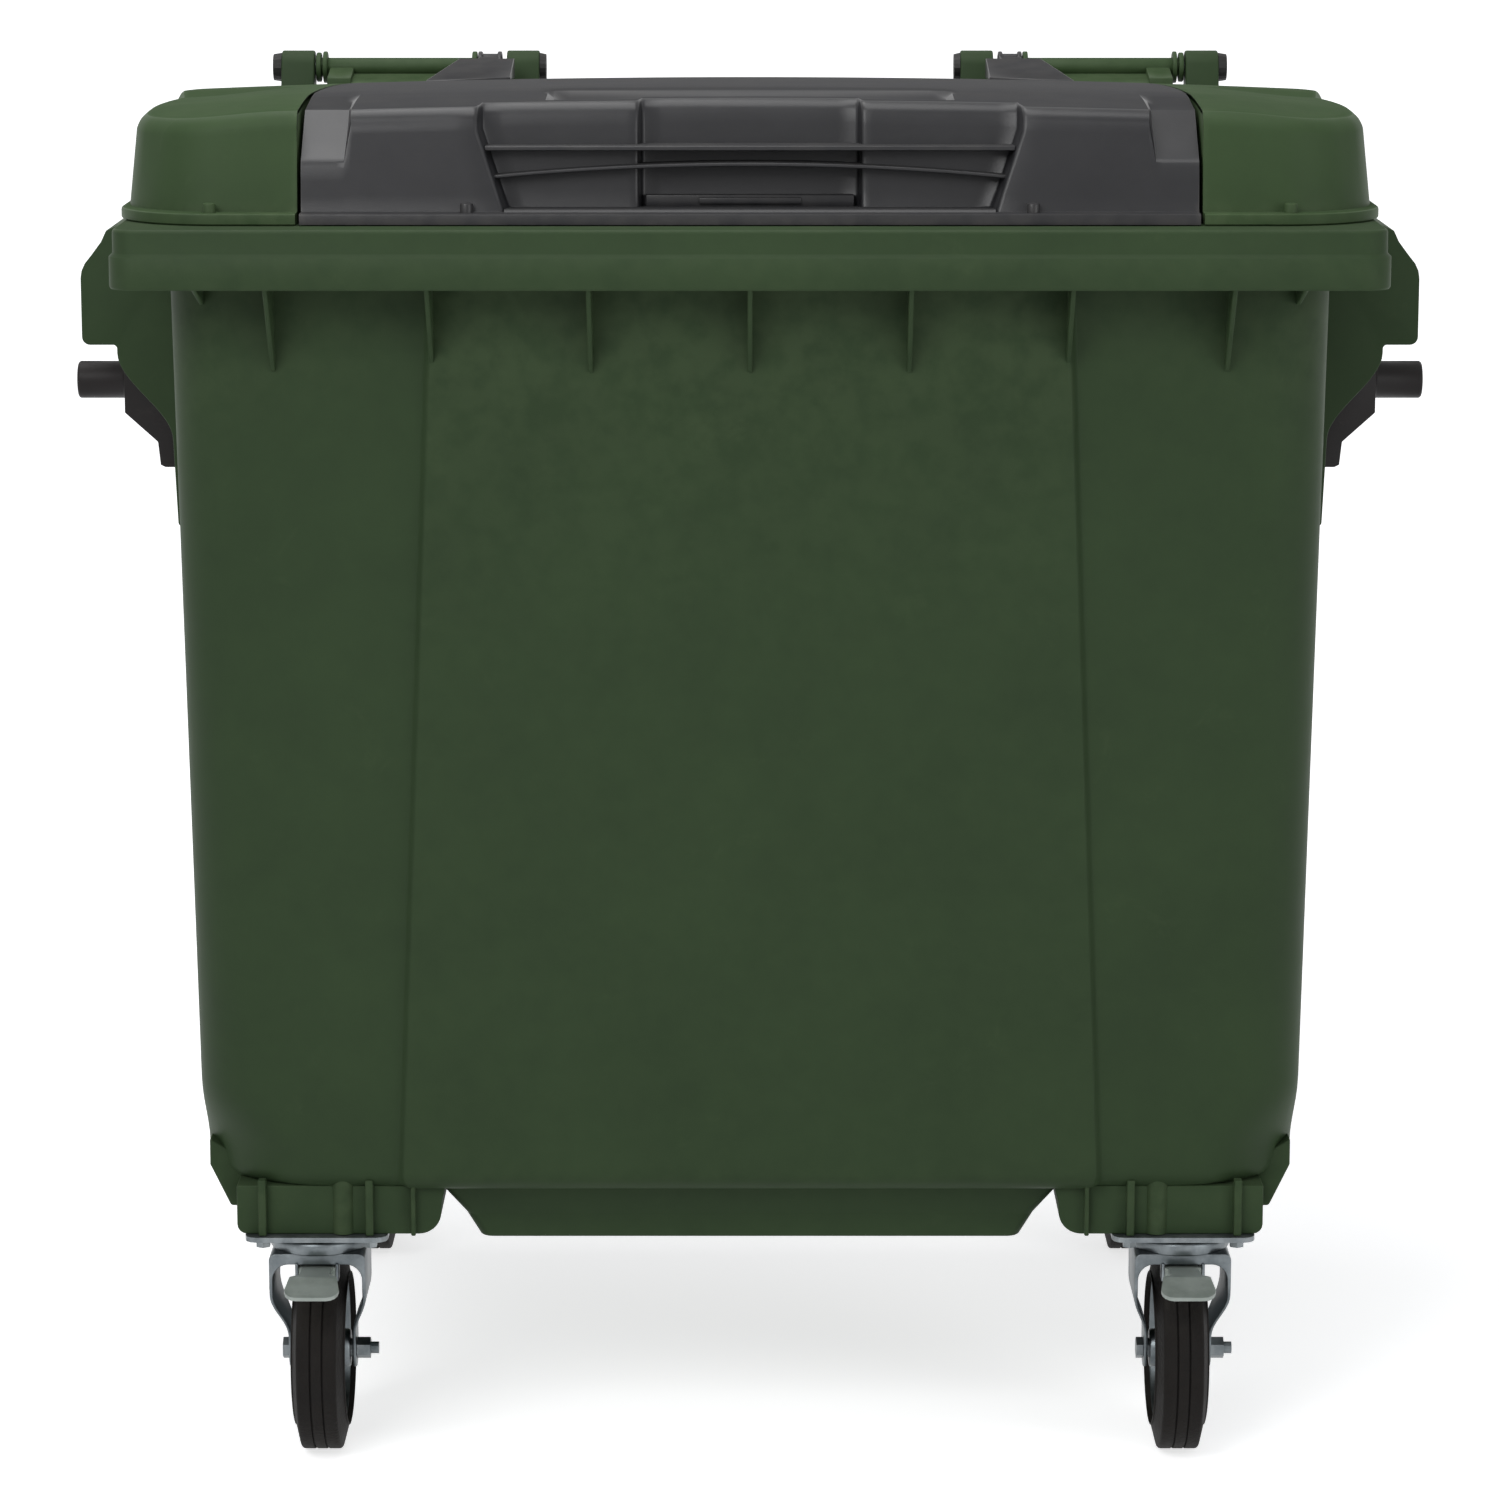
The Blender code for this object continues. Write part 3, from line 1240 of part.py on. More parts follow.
def caster_fork(name, x, y, braked, material):
    """Swivel fork: bearing ring, crown, two legs and, when braked, pedal ears."""
    front = fork_front_outline()
    legs = plate_xz(f"{name}_legs", [(x + u, z) for u, z in front], y - RING_RADIUS, y + RING_RADIUS)
    side = fork_side_outline()
    limit = plate_yz(f"{name}_limit", [(y + v, z) for v, z in side], x - RING_RADIUS, x + RING_RADIUS)
    combine(legs, [limit], "INTERSECT")
    ring = rod(f"{name}_ring", (x, y, RING_LOW), (x, y, RING_TOP), RING_RADIUS)
    floor = FOOT_BOTTOM - GAP - PLATE_THICK - PLATE_DOME_DEPTH - GAP
    cup_radius = RING_RADIUS - RING_WALL
    cup = rod(f"{name}_cup", (x, y, floor), (x, y, RING_TOP + OVERRUN), cup_radius)
    hole = rod(
        f"{name}_hole", (x, y, FORK_CROWN - OVERRUN), (x, y, RING_TOP), KINGPIN_RADIUS + GAP, SMALL_SIDES
    )
    join(legs, [ring])
    tools = [cup, hole]
    axle_y = y + TRAIL
    low = (x - RING_RADIUS - OVERRUN, axle_y, WHEEL_RADIUS)
    high = (x + RING_RADIUS + OVERRUN, axle_y, WHEEL_RADIUS)
    tools.append(rod(f"{name}_axle_hole", low, high, AXLE_RADIUS + GAP, SMALL_SIDES))
    if braked:
        ears = []
        pivot_y = y - PEDAL_PIVOT_Y
        inner = PEDAL_LUG_HALF + GAP
        for sign in (-1, 1):
            ends = sorted((x + sign * inner, x + sign * (inner + EAR_THICK)))
            low = (ends[0], pivot_y - EAR_HALF_Y, EAR_LOW)
            ears.append(block(f"{name}_ear_{sign}", low, (ends[1], pivot_y + EAR_HALF_Y, FORK_CROWN + BITE)))
        join(legs, ears)
        low = (x - inner - EAR_THICK - BITE, pivot_y, PEDAL_PIVOT_Z)
        high = (x + inner + EAR_THICK + BITE, pivot_y, PEDAL_PIVOT_Z)
        tools.append(rod(f"{name}_pivot_hole", low, high, PEDAL_PIN_RADIUS + GAP, SMALL_SIDES))
    cut(legs, tools)
    make_part(legs, name, material, (x, y, RING_LOW))


def tyre_profile():
    """Tyre section as (radius, across), running down its tread side first."""
    tread = WHEEL_RADIUS
    shoulder = WHEEL_RADIUS - TYRE_SHOULDER
    step = WHEEL_RADIUS - TYRE_STEP
    groove = WHEEL_RADIUS - GROOVE_DEPTH
    points = [(shoulder, TYRE_HALF_X), (tread, TREAD_HALF_X)]
    for centre in (GROOVE_X, -GROOVE_X):
        points.append((tread, centre + GROOVE_HALF))
        points.append((groove, centre + GROOVE_HALF / 2))
        points.append((groove, centre - GROOVE_HALF / 2))
        points.append((tread, centre - GROOVE_HALF))
    points += [
        (tread, -TREAD_HALF_X),
        (shoulder, -TYRE_HALF_X),
        (step, -TYRE_HALF_X),
        (TYRE_INNER_RADIUS, -HUB_RIM_HALF - BITE),
        (TYRE_INNER_RADIUS, HUB_RIM_HALF + BITE),
        (step, TYRE_HALF_X),
    ]
    return points


def hub_profile():
    """Wheel centre: rim, web and boss with a bore."""
    rim = TYRE_INNER_RADIUS - GAP
    rim_in = rim - HUB_RIM_THICK
    bore = SLEEVE_RADIUS + GAP
    return [
        (rim, HUB_RIM_HALF),
        (rim, -HUB_RIM_HALF),
        (rim_in, -HUB_WEB_HALF),
        (HUB_BOSS_RADIUS, -HUB_WEB_HALF),
        (HUB_BOSS_RADIUS, -HUB_BOSS_HALF),
        (bore, -HUB_BOSS_HALF),
        (bore, HUB_BOSS_HALF),
        (HUB_BOSS_RADIUS, HUB_BOSS_HALF),
        (HUB_BOSS_RADIUS, HUB_WEB_HALF),
        (rim_in, HUB_WEB_HALF),
    ]


def caster_wheel(place, x, y, materials):
    """Tyre, wheel centre, axle sleeve, axle bolt and nut."""
    centre = Vector((x, y + TRAIL, WHEEL_RADIUS))
    tyre = turned("tyre_shape", tyre_profile(), centre, WHEEL_STEPS)
    make_part(tyre, f"tyre_{place}", materials["rubber"])
    hub = turned("hub_shape", hub_profile(), centre, WHEEL_STEPS)
    make_part(hub, f"wheel_hub_{place}", materials["zinc"])
    half = FORK_LOW_HALF_X - FORK_THICK - GAP
    inner = SLEEVE_RADIUS - SLEEVE_WALL
    section = [(SLEEVE_RADIUS, half), (SLEEVE_RADIUS, -half), (inner, -half), (inner, half)]
    sleeve = turned("sleeve_shape", section, centre, SMALL_SIDES)
    make_part(sleeve, f"axle_sleeve_{place}", materials["zinc"])
    along = Vector((1, 0, 0))
    face = FORK_LOW_HALF_X + GAP
    hexagon = AXLE_AF / math.sqrt(3)
    bolt = rod("bolt_head", centre - along * (face + AXLE_HEAD), centre - along * face, hexagon, 6)
    shank = rod("bolt_shank", centre - along * (face + BITE), centre + along * AXLE_TIP, AXLE_RADIUS, SMALL_SIDES)
    join(bolt, [shank])
    make_part(bolt, f"axle_bolt_{place}", materials["zinc"], centre)
    nut = rod("nut_body", centre + along * face, centre + along * (face + AXLE_NUT), hexagon, 6)
    low = centre + along * (face - OVERRUN)
    high = centre + along * (face + AXLE_NUT + OVERRUN)
    cut(nut, [rod("nut_bore", low, high, AXLE_RADIUS + GAP, SMALL_SIDES)])
    make_part(nut, f"axle_nut_{place}", materials["zinc"], centre + along * face)


def pedal_outline(x, y):
    """Neck and pad from above, with rounded pad corners."""
    pivot = y - PEDAL_PIVOT_Y
    tip = y - PEDAL_TIP_Y
    knee = y - PEDAL_KNEE_Y
    half = PEDAL_PAD_HALF
    points = [(x + PEDAL_NECK_HALF, pivot), (x - PEDAL_NECK_HALF, pivot)]
    points += [(x - PEDAL_NECK_HALF, knee + PEDAL_CORNER), (x - half + PEDAL_CORNER / 3, knee + PEDAL_CORNER / 3)]
    points += arc((x - half + PEDAL_CORNER, tip + PEDAL_CORNER), PEDAL_CORNER, 180, 270, 4)
    points += arc((x + half - PEDAL_CORNER, tip + PEDAL_CORNER), PEDAL_CORNER, 270, 360, 4)
    points += [(x + half - PEDAL_CORNER / 3, knee + PEDAL_CORNER / 3), (x + PEDAL_NECK_HALF, knee + PEDAL_CORNER)]
    return points


def brake(place, x, y, materials):
    """Brake pedal on its pin, with a shoe over the tread."""
    pivot = Vector((x, y - PEDAL_PIVOT_Y, PEDAL_PIVOT_Z))
    thick = PEDAL_THICK
    side = [
        (pivot.y, PEDAL_NECK_Z - thick),
        (pivot.y, PEDAL_NECK_Z),
        (y - PEDAL_KNEE_Y, PEDAL_KNEE_Z),
        (y - PEDAL_TIP_Y - BITE, PEDAL_TIP_Z + thick / 2),
        (y - PEDAL_TIP_Y - BITE, PEDAL_TIP_Z - thick / 2),
        (y - PEDAL_KNEE_Y, PEDAL_KNEE_Z - thick),
    ]
    reach = PEDAL_PAD_HALF + BITE
    pedal = plate_yz(f"pedal_side_{place}", side, x - reach, x + reach)
    limit = plate_xy(f"pedal_plan_{place}", pedal_outline(x, y), EAR_LOW, FORK_CROWN + OVERRUN)
    combine(pedal, [limit], "INTERSECT")
    lug_half = Vector((PEDAL_LUG_HALF, 0, 0))
    lug = rod(f"pedal_lug_{place}", pivot - lug_half, pivot + lug_half, PEDAL_LUG_RADIUS, SMALL_SIDES)
    low = pivot - Vector((PEDAL_NECK_HALF, SHOE_HALF_Y * 2, SHOE_DROP))
    shoe = block(f"pedal_shoe_{place}", low, pivot + Vector((PEDAL_NECK_HALF, 0, 0)))
    join(pedal, [lug, shoe])
    reach = Vector((PEDAL_LUG_HALF + OVERRUN, 0, 0))
    bore = rod(f"pedal_bore_{place}", pivot - reach, pivot + reach, PEDAL_PIN_RADIUS + GAP, SMALL_SIDES)
    cut(pedal, [bore])
    make_part(pedal, f"brake_pedal_{place}", materials["pedal"], pivot)
    half = Vector((PEDAL_LUG_HALF + GAP + EAR_THICK, 0, 0))
    pin = rod(f"pedal_pin_{place}", pivot - half, pivot + half, PEDAL_PIN_RADIUS, SMALL_SIDES)
    make_part(pin, f"brake_pin_{place}", materials["zinc"], pivot)


def make_casters(materials):
    for y_side, y_word in ((-1, "front"), (1, "rear")):
        for x_side, x_word in ((-1, "left"), (1, "right")):
            place = f"{y_word}_{x_word}"
            x = x_side * CASTER_X
            y = CASTER_MIDDLE_Y + y_side * CASTER_PITCH_Y / 2
            braked = y_side < 0
            caster_plate(f"top_plate_{place}", x, y, materials["zinc"])
            plate_bolts(place, x, y, materials["zinc"])
            caster_fork(f"swivel_fork_{place}", x, y, braked, materials["zinc"])
            caster_wheel(place, x, y, materials)
            if braked:
                brake(place, x, y, materials)


def make_materials():
    return {
        "green": new_material("green_plastic", (0.034, 0.054, 0.023), 0.42),
        "lid_green": new_material("green_lid_plastic", (0.048, 0.085, 0.032), 0.38),
        "grey": new_material("dark_grey_plastic", (0.042, 0.042, 0.045), 0.30),
        "black": new_material("black_plastic", (0.012, 0.011, 0.011), 0.45),
        "trunnion": new_material("black_painted_steel", (0.011, 0.008, 0.008), 0.40),
        "zinc": new_material("zinc_plated_steel", (0.42, 0.44, 0.45), 0.38, 1.0),
        "pedal": new_material("pressed_steel", (0.48, 0.50, 0.48), 0.45, 1.0),
        "rubber": new_material("black_rubber", (0.017, 0.014, 0.012), 0.75),
    }


def main():
    materials = make_materials()
    make_tub(materials["green"])
    for side in (-1, 1):
        make_trunnion(side, materials["trunnion"])
        make_hinge_hardware(side, materials["zinc"], materials["black"])
    make_outer_lid(materials["lid_green"])
    make_inner_lid(materials["grey"])
    make_casters(materials)


main()
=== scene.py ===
"""Dressed model of the four-wheeled waste container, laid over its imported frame.

Everything is in metres in the frame's own axes: +X along the trunnions, -Y the
front, +Z up.
"""

import math

import bmesh
import bpy
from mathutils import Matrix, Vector


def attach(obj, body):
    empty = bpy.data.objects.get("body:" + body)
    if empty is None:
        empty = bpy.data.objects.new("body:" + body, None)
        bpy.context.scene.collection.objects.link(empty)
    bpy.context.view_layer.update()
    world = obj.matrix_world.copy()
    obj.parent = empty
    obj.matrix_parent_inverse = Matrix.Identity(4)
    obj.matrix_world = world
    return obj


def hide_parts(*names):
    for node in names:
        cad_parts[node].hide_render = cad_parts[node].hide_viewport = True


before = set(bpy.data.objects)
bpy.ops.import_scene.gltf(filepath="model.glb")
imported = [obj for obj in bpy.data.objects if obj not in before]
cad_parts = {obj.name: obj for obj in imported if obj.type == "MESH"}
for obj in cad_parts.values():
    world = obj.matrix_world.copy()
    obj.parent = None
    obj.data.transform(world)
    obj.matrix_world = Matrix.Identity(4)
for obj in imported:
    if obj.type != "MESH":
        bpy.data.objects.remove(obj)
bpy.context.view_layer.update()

# Tub, near the part's sizes
RIM_TOP = 1.2325
TUB_BOTTOM = 0.2815
FOOT_BOTTOM = 0.235
TUB_WALL = 0.005
TOP_HALF_X = 0.5480
BOTTOM_HALF_X = 0.5390
TOP_FRONT = 0.461
BOTTOM_FRONT = 0.391
TOP_REAR = 0.447
BOTTOM_REAR = 0.400
CORNER_RADIUS = 0.062
LOW_CORNER_RADIUS = 0.120
LOW_CORNER_HEIGHT = 0.105
BOTTOM_ROUND = 0.020
PANEL_TOP_HALF = 0.2925
PANEL_BOTTOM_HALF = 0.3375
PANEL_STEP = 0.009
PANEL_SLOPE = 0.009

# Rim and its ribs
RIM_HALF_X = 0.592
RIM_FRONT = 0.530
RIM_REAR = 0.490
RIM_RADIUS = 0.028
RIM_DROP = 0.0555
RIM_WALL = 0.005
BAND_HEIGHT = 0.030
BAND_PROUD = 0.0035
RIB_PITCH = 0.149
RIB_THICK = 0.0045
RIB_DROP = 0.083
RIB_TOE = 0.004
END_RIB_X = 0.513
END_RIB_DROP = 0.026
SIDE_RIB_Y = 0.310

# Hoods over the trunnions
HOOD_HALF_Y = 0.150
HOOD_WALL = 0.005
HOOD_OUT = 0.665
HOOD_BROW_LINE = (
    (0.6387, 0.0340), (0.6439, 0.0450), (0.6533, 0.0575),
    (0.6605, 0.0665), (0.6638, 0.0735), (0.6650, 0.0810),
)
HOOD_DEPTH = 0.1475
HOOD_LIP_IN = 0.6303
CHEEK_TOE_OUT = 0.5764
CHEEK_TOE_DROP = 0.2425
CHEEK_DEPTH = 0.3275
CHEEK_FOOT = 0.030
THIN_RIB_X = 0.5535
THIN_RIB_LOW = 0.889

# Trunnions
TRUNNION_HEIGHT = 1.033
TRUNNION_RADIUS = 0.019
TRUNNION_TIP = 0.6885
TRUNNION_ROOT = 0.596
BRACKET_HALF_Y = 0.036
BRACKET_UP = 0.030
BRACKET_DOWN = 0.086
BRACKET_NOSE = 0.638
BRACKET_TOE = 0.6025
WELD_SIZE = 0.004
PIN_ROUND = 0.003

# Feet and trough
CASTER_X = 0.4255
CASTER_MIDDLE_Y = 0.005
CASTER_HALF_PITCH = 0.350
FOOT_IN = 0.303
FOOT_OUT = 0.5035
FOOT_FRONT_REACH = 0.037
FOOT_BACK_REACH = 0.090
FOOT_CHAMFER = 0.0095
FOOT_IN_ROUND = 0.022
FOOT_RIB_PROUD = 0.009
FOOT_BOSS_RADIUS = 0.011
SHOULDER_OUT = 0.533
SHOULDER_LOW_OUT = 0.513
SHOULDER_LOW = 0.253
SHOULDER_HIGH = 0.295
TROUGH_TOP_HALF = 0.3075
TROUGH_LOW_HALF = 0.2795
TROUGH_LIP_HALF = 0.2665
TROUGH_BOTTOM = 0.2235
TROUGH_LIP = 0.2470
TROUGH_REACH = 0.372
TROUGH_SET_BACK = 0.016
TROUGH_CORNER = 0.012
PLATE_BOLT_X = 0.0525

# Hinge line
HINGE_Y = 0.5115
HINGE_Z = 1.322
TOWER_RADIUS = 0.0185
TOWER_BASE = 0.020
TUBE_RADIUS = 0.0105
DISC_RADIUS = 0.0175
OUTER_TOWER = (0.4840, 0.5205)
INNER_TOWER = (0.2340, 0.2703)
OUTER_DISC = (0.4700, 0.4833)
MIDDLE_DISC = (0.3035, 0.3090)
DISC_WIDTH = 0.0048
DISC_GAP = 0.0070
PIN_BORE = 0.004
DISC_ROUND = 0.001
OUTER_TUBE = (0.3085, 0.4705)
WEB_STEP = 0.030
INNER_BARREL = (0.2759, 0.3023)

# Lids
LID_WALL = 0.004
FLANGE_LOW = 1.2330
FLANGE_HIGH = 1.2437
FLANGE_HALF_X = 0.5930
FLANGE_FRONT = 0.485
FLANGE_REAR = 0.4655
LEDGE_WIDTH = 0.008
LID_HALF_X = 0.5885
LID_FRONT = 0.462
LID_REAR = 0.459
LID_CORNER = 0.100
LID_REAR_CORNER = 0.050
LID_LEAN = 0.012
LID_SIDE_LEAN = 0.009
FRONT_SHOULDER = 0.0135
REAR_SHOULDER = 0.008
SHOULDER_STEP_Y = -0.035
SHOULDER_STEP = 0.015
EDGE_REACH = 0.78
EDGE_FLATNESS = 0.45
BORDER_STEP = 0.02
SIDE_DIP = 0.0065
SIDE_DIP_IN = 0.440
SIDE_DIP_OUT = 0.560
CREST_Z = 1.3494
CREST_Y = -0.300
CREST_FALL_X = 0.0066
CREST_FALL_REAR = 0.0308
CREST_FALL_FRONT = 0.0065
CREST_SPAN_X = 0.4256
CREST_SPAN_REAR = 0.680
CREST_SPAN_FRONT = 0.1346
WINDOW_HALF_X = 0.4212
WINDOW_REAR = 0.385
INNER_LID_HALF_X = 0.4174
INNER_LID_REAR = 0.381
BAR_FRONT = 0.400
BAR_REAR = 0.370
BAR_LOW = 1.2375
BAR_HIGH = 1.2475
BUMP_RADIUS = 0.0062
BUMP_HEIGHT = 0.009
GREEN_BUMP_X = 0.502
GREY_BUMP_X = 0.263
BUMP_Y = 0.470

# Grip, notches, channel and arms of the small lid
GRIP_TOP_HALF = 0.2528
GRIP_LOW_HALF = 0.2284
GRIP_LOW = 1.2460
GRIP_TOP = 1.3190
GRIP_SIDE_DEPTH = 0.026
GRIP_MIDDLE_DEPTH = 0.043
GRIP_MIDDLE_HALF = 0.1015
GRIP_RAIL_Z = 1.3018
GRIP_RAIL_THICK = 0.0046
GRIP_BOW_END_Z = 1.2770
GRIP_BOW_RISE = 0.0115
GRIP_BOW_THICK = 0.0034
GRIP_FRONT = 0.451
FRONT_EDGE = 0.015
NOTCH_IN = 0.378
NOTCH_LOW = 1.2905
NOTCH_BREAK_Z = 1.3213
NOTCH_DEPTH = 0.042
NOTCH_LEAN = 0.007
NOTCH_UPPER = 0.016
NOTCH_TOP_Z = 1.334
NOTCH_END_Y = -0.290
NOTCH_ROUND = ((0, -0.0050), (0.0008, -0.0022), (0.0024, 0.0002), (0.0046, 0.0022), (0.0072, 0.0038))
CHANNEL_HALF = 0.1855
CHANNEL_FRONT_Y = -0.432
CHANNEL_BOW = 0.044
CHANNEL_RIDGE_Y = -0.378
CHANNEL_REAR_Y = -0.326
CHANNEL_DEPTH = 0.0140
TOP_ROWS_Y = -0.300
GRIP_LOW_SHARE = 0.84
GRIP_MARGIN = 0.008
GRIP_COLUMNS = (0.2300, 0.2140, 0.2000, 0.1915, 0.1855, 0.1700, 0.1500, 0.1300, 0.1150)
SKIRT_DROP = 0.022
SMALL_LID_WALL = 0.003
STEP_REACH = 0.008
STEP_RISE = 0.011
STEP_SLOT_HALF = 0.048
ARM_TIP_X = 0.352
ARM_TIP_Y = 0.345
ARM_TAPER = 0.020
ARM_IN = 0.2600
ARM_OUT = 0.3210
ARM_REAR_Y = 0.4640
ARM_RISE = 0.014
ARM_TOP_Z = 1.3345
BARREL_RADIUS = 0.0150
RING_WIDTH = 0.0050

# Casters
WHEEL_RADIUS = 0.100
TRAIL = 0.023
TYRE_HALF_X = 0.0268
TREAD_HALF_X = 0.0190
TYRE_SHOULDER = 0.003
STEP_IN = 0.0017
TYRE_STEP = 0.023
TYRE_INNER_RADIUS = 0.0745
TYRE_SEAT = 0.021
FORK_HALF_X = 0.0473
FORK_LOW_HALF_X = 0.0333
FORK_THICK = 0.0033
FORK_CROWN = 0.205
FORK_BEND_TOP = 0.172
FORK_BEND_LOW = 0.118
FORK_CORNER = 0.016
FORK_EYE_RADIUS = 0.019
FORK_TOP_HALF_Y = 0.042
RING_RADIUS = 0.0485
RING_TOP = 0.2285
RING_LOW = 0.2145
RING_WALL = 0.0075
EAR_IN = 0.0183
EAR_THICK = 0.0030
EAR_LOW = 0.1885
EAR_HALF_Y = 0.0085
PEDAL_PIVOT_Y = 0.036
GROOVE_X = 0.0059
GROOVE_HALF = 0.0009
GROOVE_DEPTH = 0.0022

# Fineness of the round shapes, usual rounding, radius where a spun shape closes, and
# the angles in degrees from which an edge shows as sharp
FINE_CORNER = 12
ROUND = 48
TYRE_ROUND = 96
EDGE = 0.0012
POLE = 0.0001
SHARP = 40
SHARP_ROUNDED = 50
SHARP_SKIN = 30


def shade(mesh, angle):
    mesh.shade_smooth()
    mesh.set_sharp_from_angle(angle=math.radians(angle))


def linked(bm, name="piece"):
    """Object in the scene from a bmesh."""
    mesh = bpy.data.meshes.new(name)
    bm.to_mesh(mesh)
    bm.free()
    piece = bpy.data.objects.new(name, mesh)
    bpy.context.scene.collection.objects.link(piece)
    return piece


def as_object(bm, smooth_angle=SHARP):
    """Shaded object from a bmesh."""
    bmesh.ops.recalc_face_normals(bm, faces=bm.faces)
    piece = linked(bm)
    shade(piece.data, smooth_angle)
    return piece


def merged(name, pieces):
    """Joins separate moulded pieces into one object."""
    bm = bmesh.new()
    for piece in pieces:
        mesh = piece.data
        bm.from_mesh(mesh)
        bpy.data.objects.remove(piece, do_unlink=True)
        bpy.data.meshes.remove(mesh)
    return linked(bm, name)


def settle(piece, smooth_angle=SHARP):
    """Applies a piece's modifiers and shades it again."""
    bpy.context.view_layer.update()
    ready = piece.evaluated_get(bpy.context.evaluated_depsgraph_get())
    mesh = bpy.data.meshes.new_from_object(ready)
    old = piece.data
    piece.modifiers.clear()
    piece.data = mesh
    bpy.data.meshes.remove(old)
    mesh.name = piece.name
    shade(mesh, smooth_angle)
    return piece


def add_bevel(piece, width, segments, angle):
    """Gives every edge sharper than the angle a small radius."""
    bevel = piece.modifiers.new("eased", "BEVEL")
    bevel.width = width
    bevel.segments = segments
    bevel.limit_method = "ANGLE"
    bevel.angle_limit = math.radians(angle)
    bevel.use_clamp_overlap = True


def round_edges(piece, width=EDGE, segments=3, angle=32):
    """Rounds and settles a piece."""
    add_bevel(piece, width, segments, angle)
    return settle(piece, SHARP_ROUNDED)


def thicken(piece, wall, smooth_angle):
    """Gives an open skin its wall, on the inside."""
    thick = piece.modifiers.new("wall", "SOLIDIFY")
    thick.thickness = wall
    thick.offset = -1
    return settle(piece, smooth_angle)


def carve(piece, tools, operation="DIFFERENCE"):
    """Cuts a piece with other shapes and removes them."""
    for shape in tools:
        tool = piece.modifiers.new("carve", "BOOLEAN")
        tool.operation = operation
        tool.solver = "EXACT"
        tool.object = shape
    settle(piece)
    for shape in tools:
        bpy.data.objects.remove(shape, do_unlink=True)
    return piece


def loft(rings, closed=False, caps=(0, -1), wrap=True, smooth_angle=SHARP):
    """Skin through rows of points: wrap joins a row's ends, closed the last row to the first."""
    bm = bmesh.new()
    rows = [[bm.verts.new(point) for point in ring] for ring in rings]
    for end in () if closed else caps:
        bm.faces.new(rows[end])
    if closed:
        rows.append(rows[0])
    for below, above in zip(rows, rows[1:]):
        for index in range(len(below) if wrap else len(below) - 1):
            following = (index + 1) % len(below)
            bm.faces.new((below[index], below[following], above[following], above[index]))
    return as_object(bm, smooth_angle)


def prism(outline, plane, *ends):
    """Outline thickened along the axis that its plane leaves out, between two ends."""
    places = {
        "xz": lambda u, v, w: (u, w, v),
        "yz": lambda u, v, w: (w, u, v),
        "xy": lambda u, v, w: (u, v, w),
    }
    return loft([[places[plane](u, v, end) for u, v in outline] for end in sorted(ends)])


def slab(low, high):
    """Box between two corners."""
    (x, far_x), (y, far_y) = sorted((low[0], high[0])), sorted((low[1], high[1]))
    return prism([(x, y), (far_x, y), (far_x, far_y), (x, far_y)], "xy", low[2], high[2])


def quarter(*angles):
    """How far a rounding has gone across and up at some angles, as shares of its radius."""
    return [(1 - math.cos(math.radians(angle)), math.sin(math.radians(angle))) for angle in angles]


def both_sides(half):
    """Whole profile of (radius, along) from one side of it."""
    return half + [(radius, -along) for radius, along in reversed(half)]


def spun(profile, centre, axis="x", steps=ROUND, closed=True, hand=1):
    """Profile of (radius, along) spun round the X or Z axis through the centre."""
    rings = []
    for radius, along in profile:
        along *= hand
        ring = []
        for step in range(steps):
            angle = 2 * math.pi * step / steps
            u, v = radius * math.cos(angle), radius * math.sin(angle)
            ring.append(Vector(centre) + Vector((along, u, v) if axis == "x" else (u, v, along)))
        rings.append(ring)
    return loft(rings, closed)


def arc(centre, radius, start, end, steps):
    """Points of an arc between two angles in degrees."""
    points = []
    for step in range(steps + 1):
        angle = math.radians(start + (end - start) * step / steps)
        points.append((centre[0] + radius * math.cos(angle), centre[1] + radius * math.sin(angle)))
    return points


def rounded_outline(half_x, front, rear, radii, inset=0, steps=FINE_CORNER):
    """Rounded rectangle in X and Y, drawn in by the inset, from the front of its +X side."""
    half_x, front, rear = half_x - inset, front + inset, rear - inset
    ahead, behind = (max(radius - inset, TUB_WALL) for radius in radii)
    points = arc((half_x - ahead, front + ahead), ahead, -90, 0, steps)
    points += arc((half_x - behind, rear - behind), behind, 0, 90, steps)
    points += arc((behind - half_x, rear - behind), behind, 90, 180, steps)
    return points + arc((ahead - half_x, front + ahead), ahead, 180, 270, steps)


def at_height(points, z):
    return [(x, y, z) for x, y in points]


def between(low_value, high_value, share):
    return low_value + (high_value - low_value) * share


def ease(value, low=0, high=1):
    """Smooth step from 0 to 1 between two values."""
    share = min(max((value - low) / (high - low), 0), 1)
    return share * share * (3 - 2 * share)


def s_curve(start, end, steps):
    """Points of an S curve, whose first coordinate eases in and out."""
    shares = [step / steps for step in range(steps + 1)]
    (x, z), (far_x, far_z) = start, end
    return [(between(x, far_x, ease(share)), between(z, far_z, share)) for share in shares]


def handed(points, hand):
    """The same outline on the right (1) or on the left (-1)."""
    return [(hand * x, z) for x, z in points]


# Tub
def wall_share(z):
    return (z - TUB_BOTTOM) / (RIM_TOP - TUB_BOTTOM)


def side_wall(z):
    return between(BOTTOM_HALF_X, TOP_HALF_X, wall_share(z))


def front_wall(z):
    """Y of the front wall beside its middle panel."""
    return -between(BOTTOM_FRONT, TOP_FRONT, wall_share(z))


def rear_wall(z):
    return between(BOTTOM_REAR, TOP_REAR, wall_share(z))


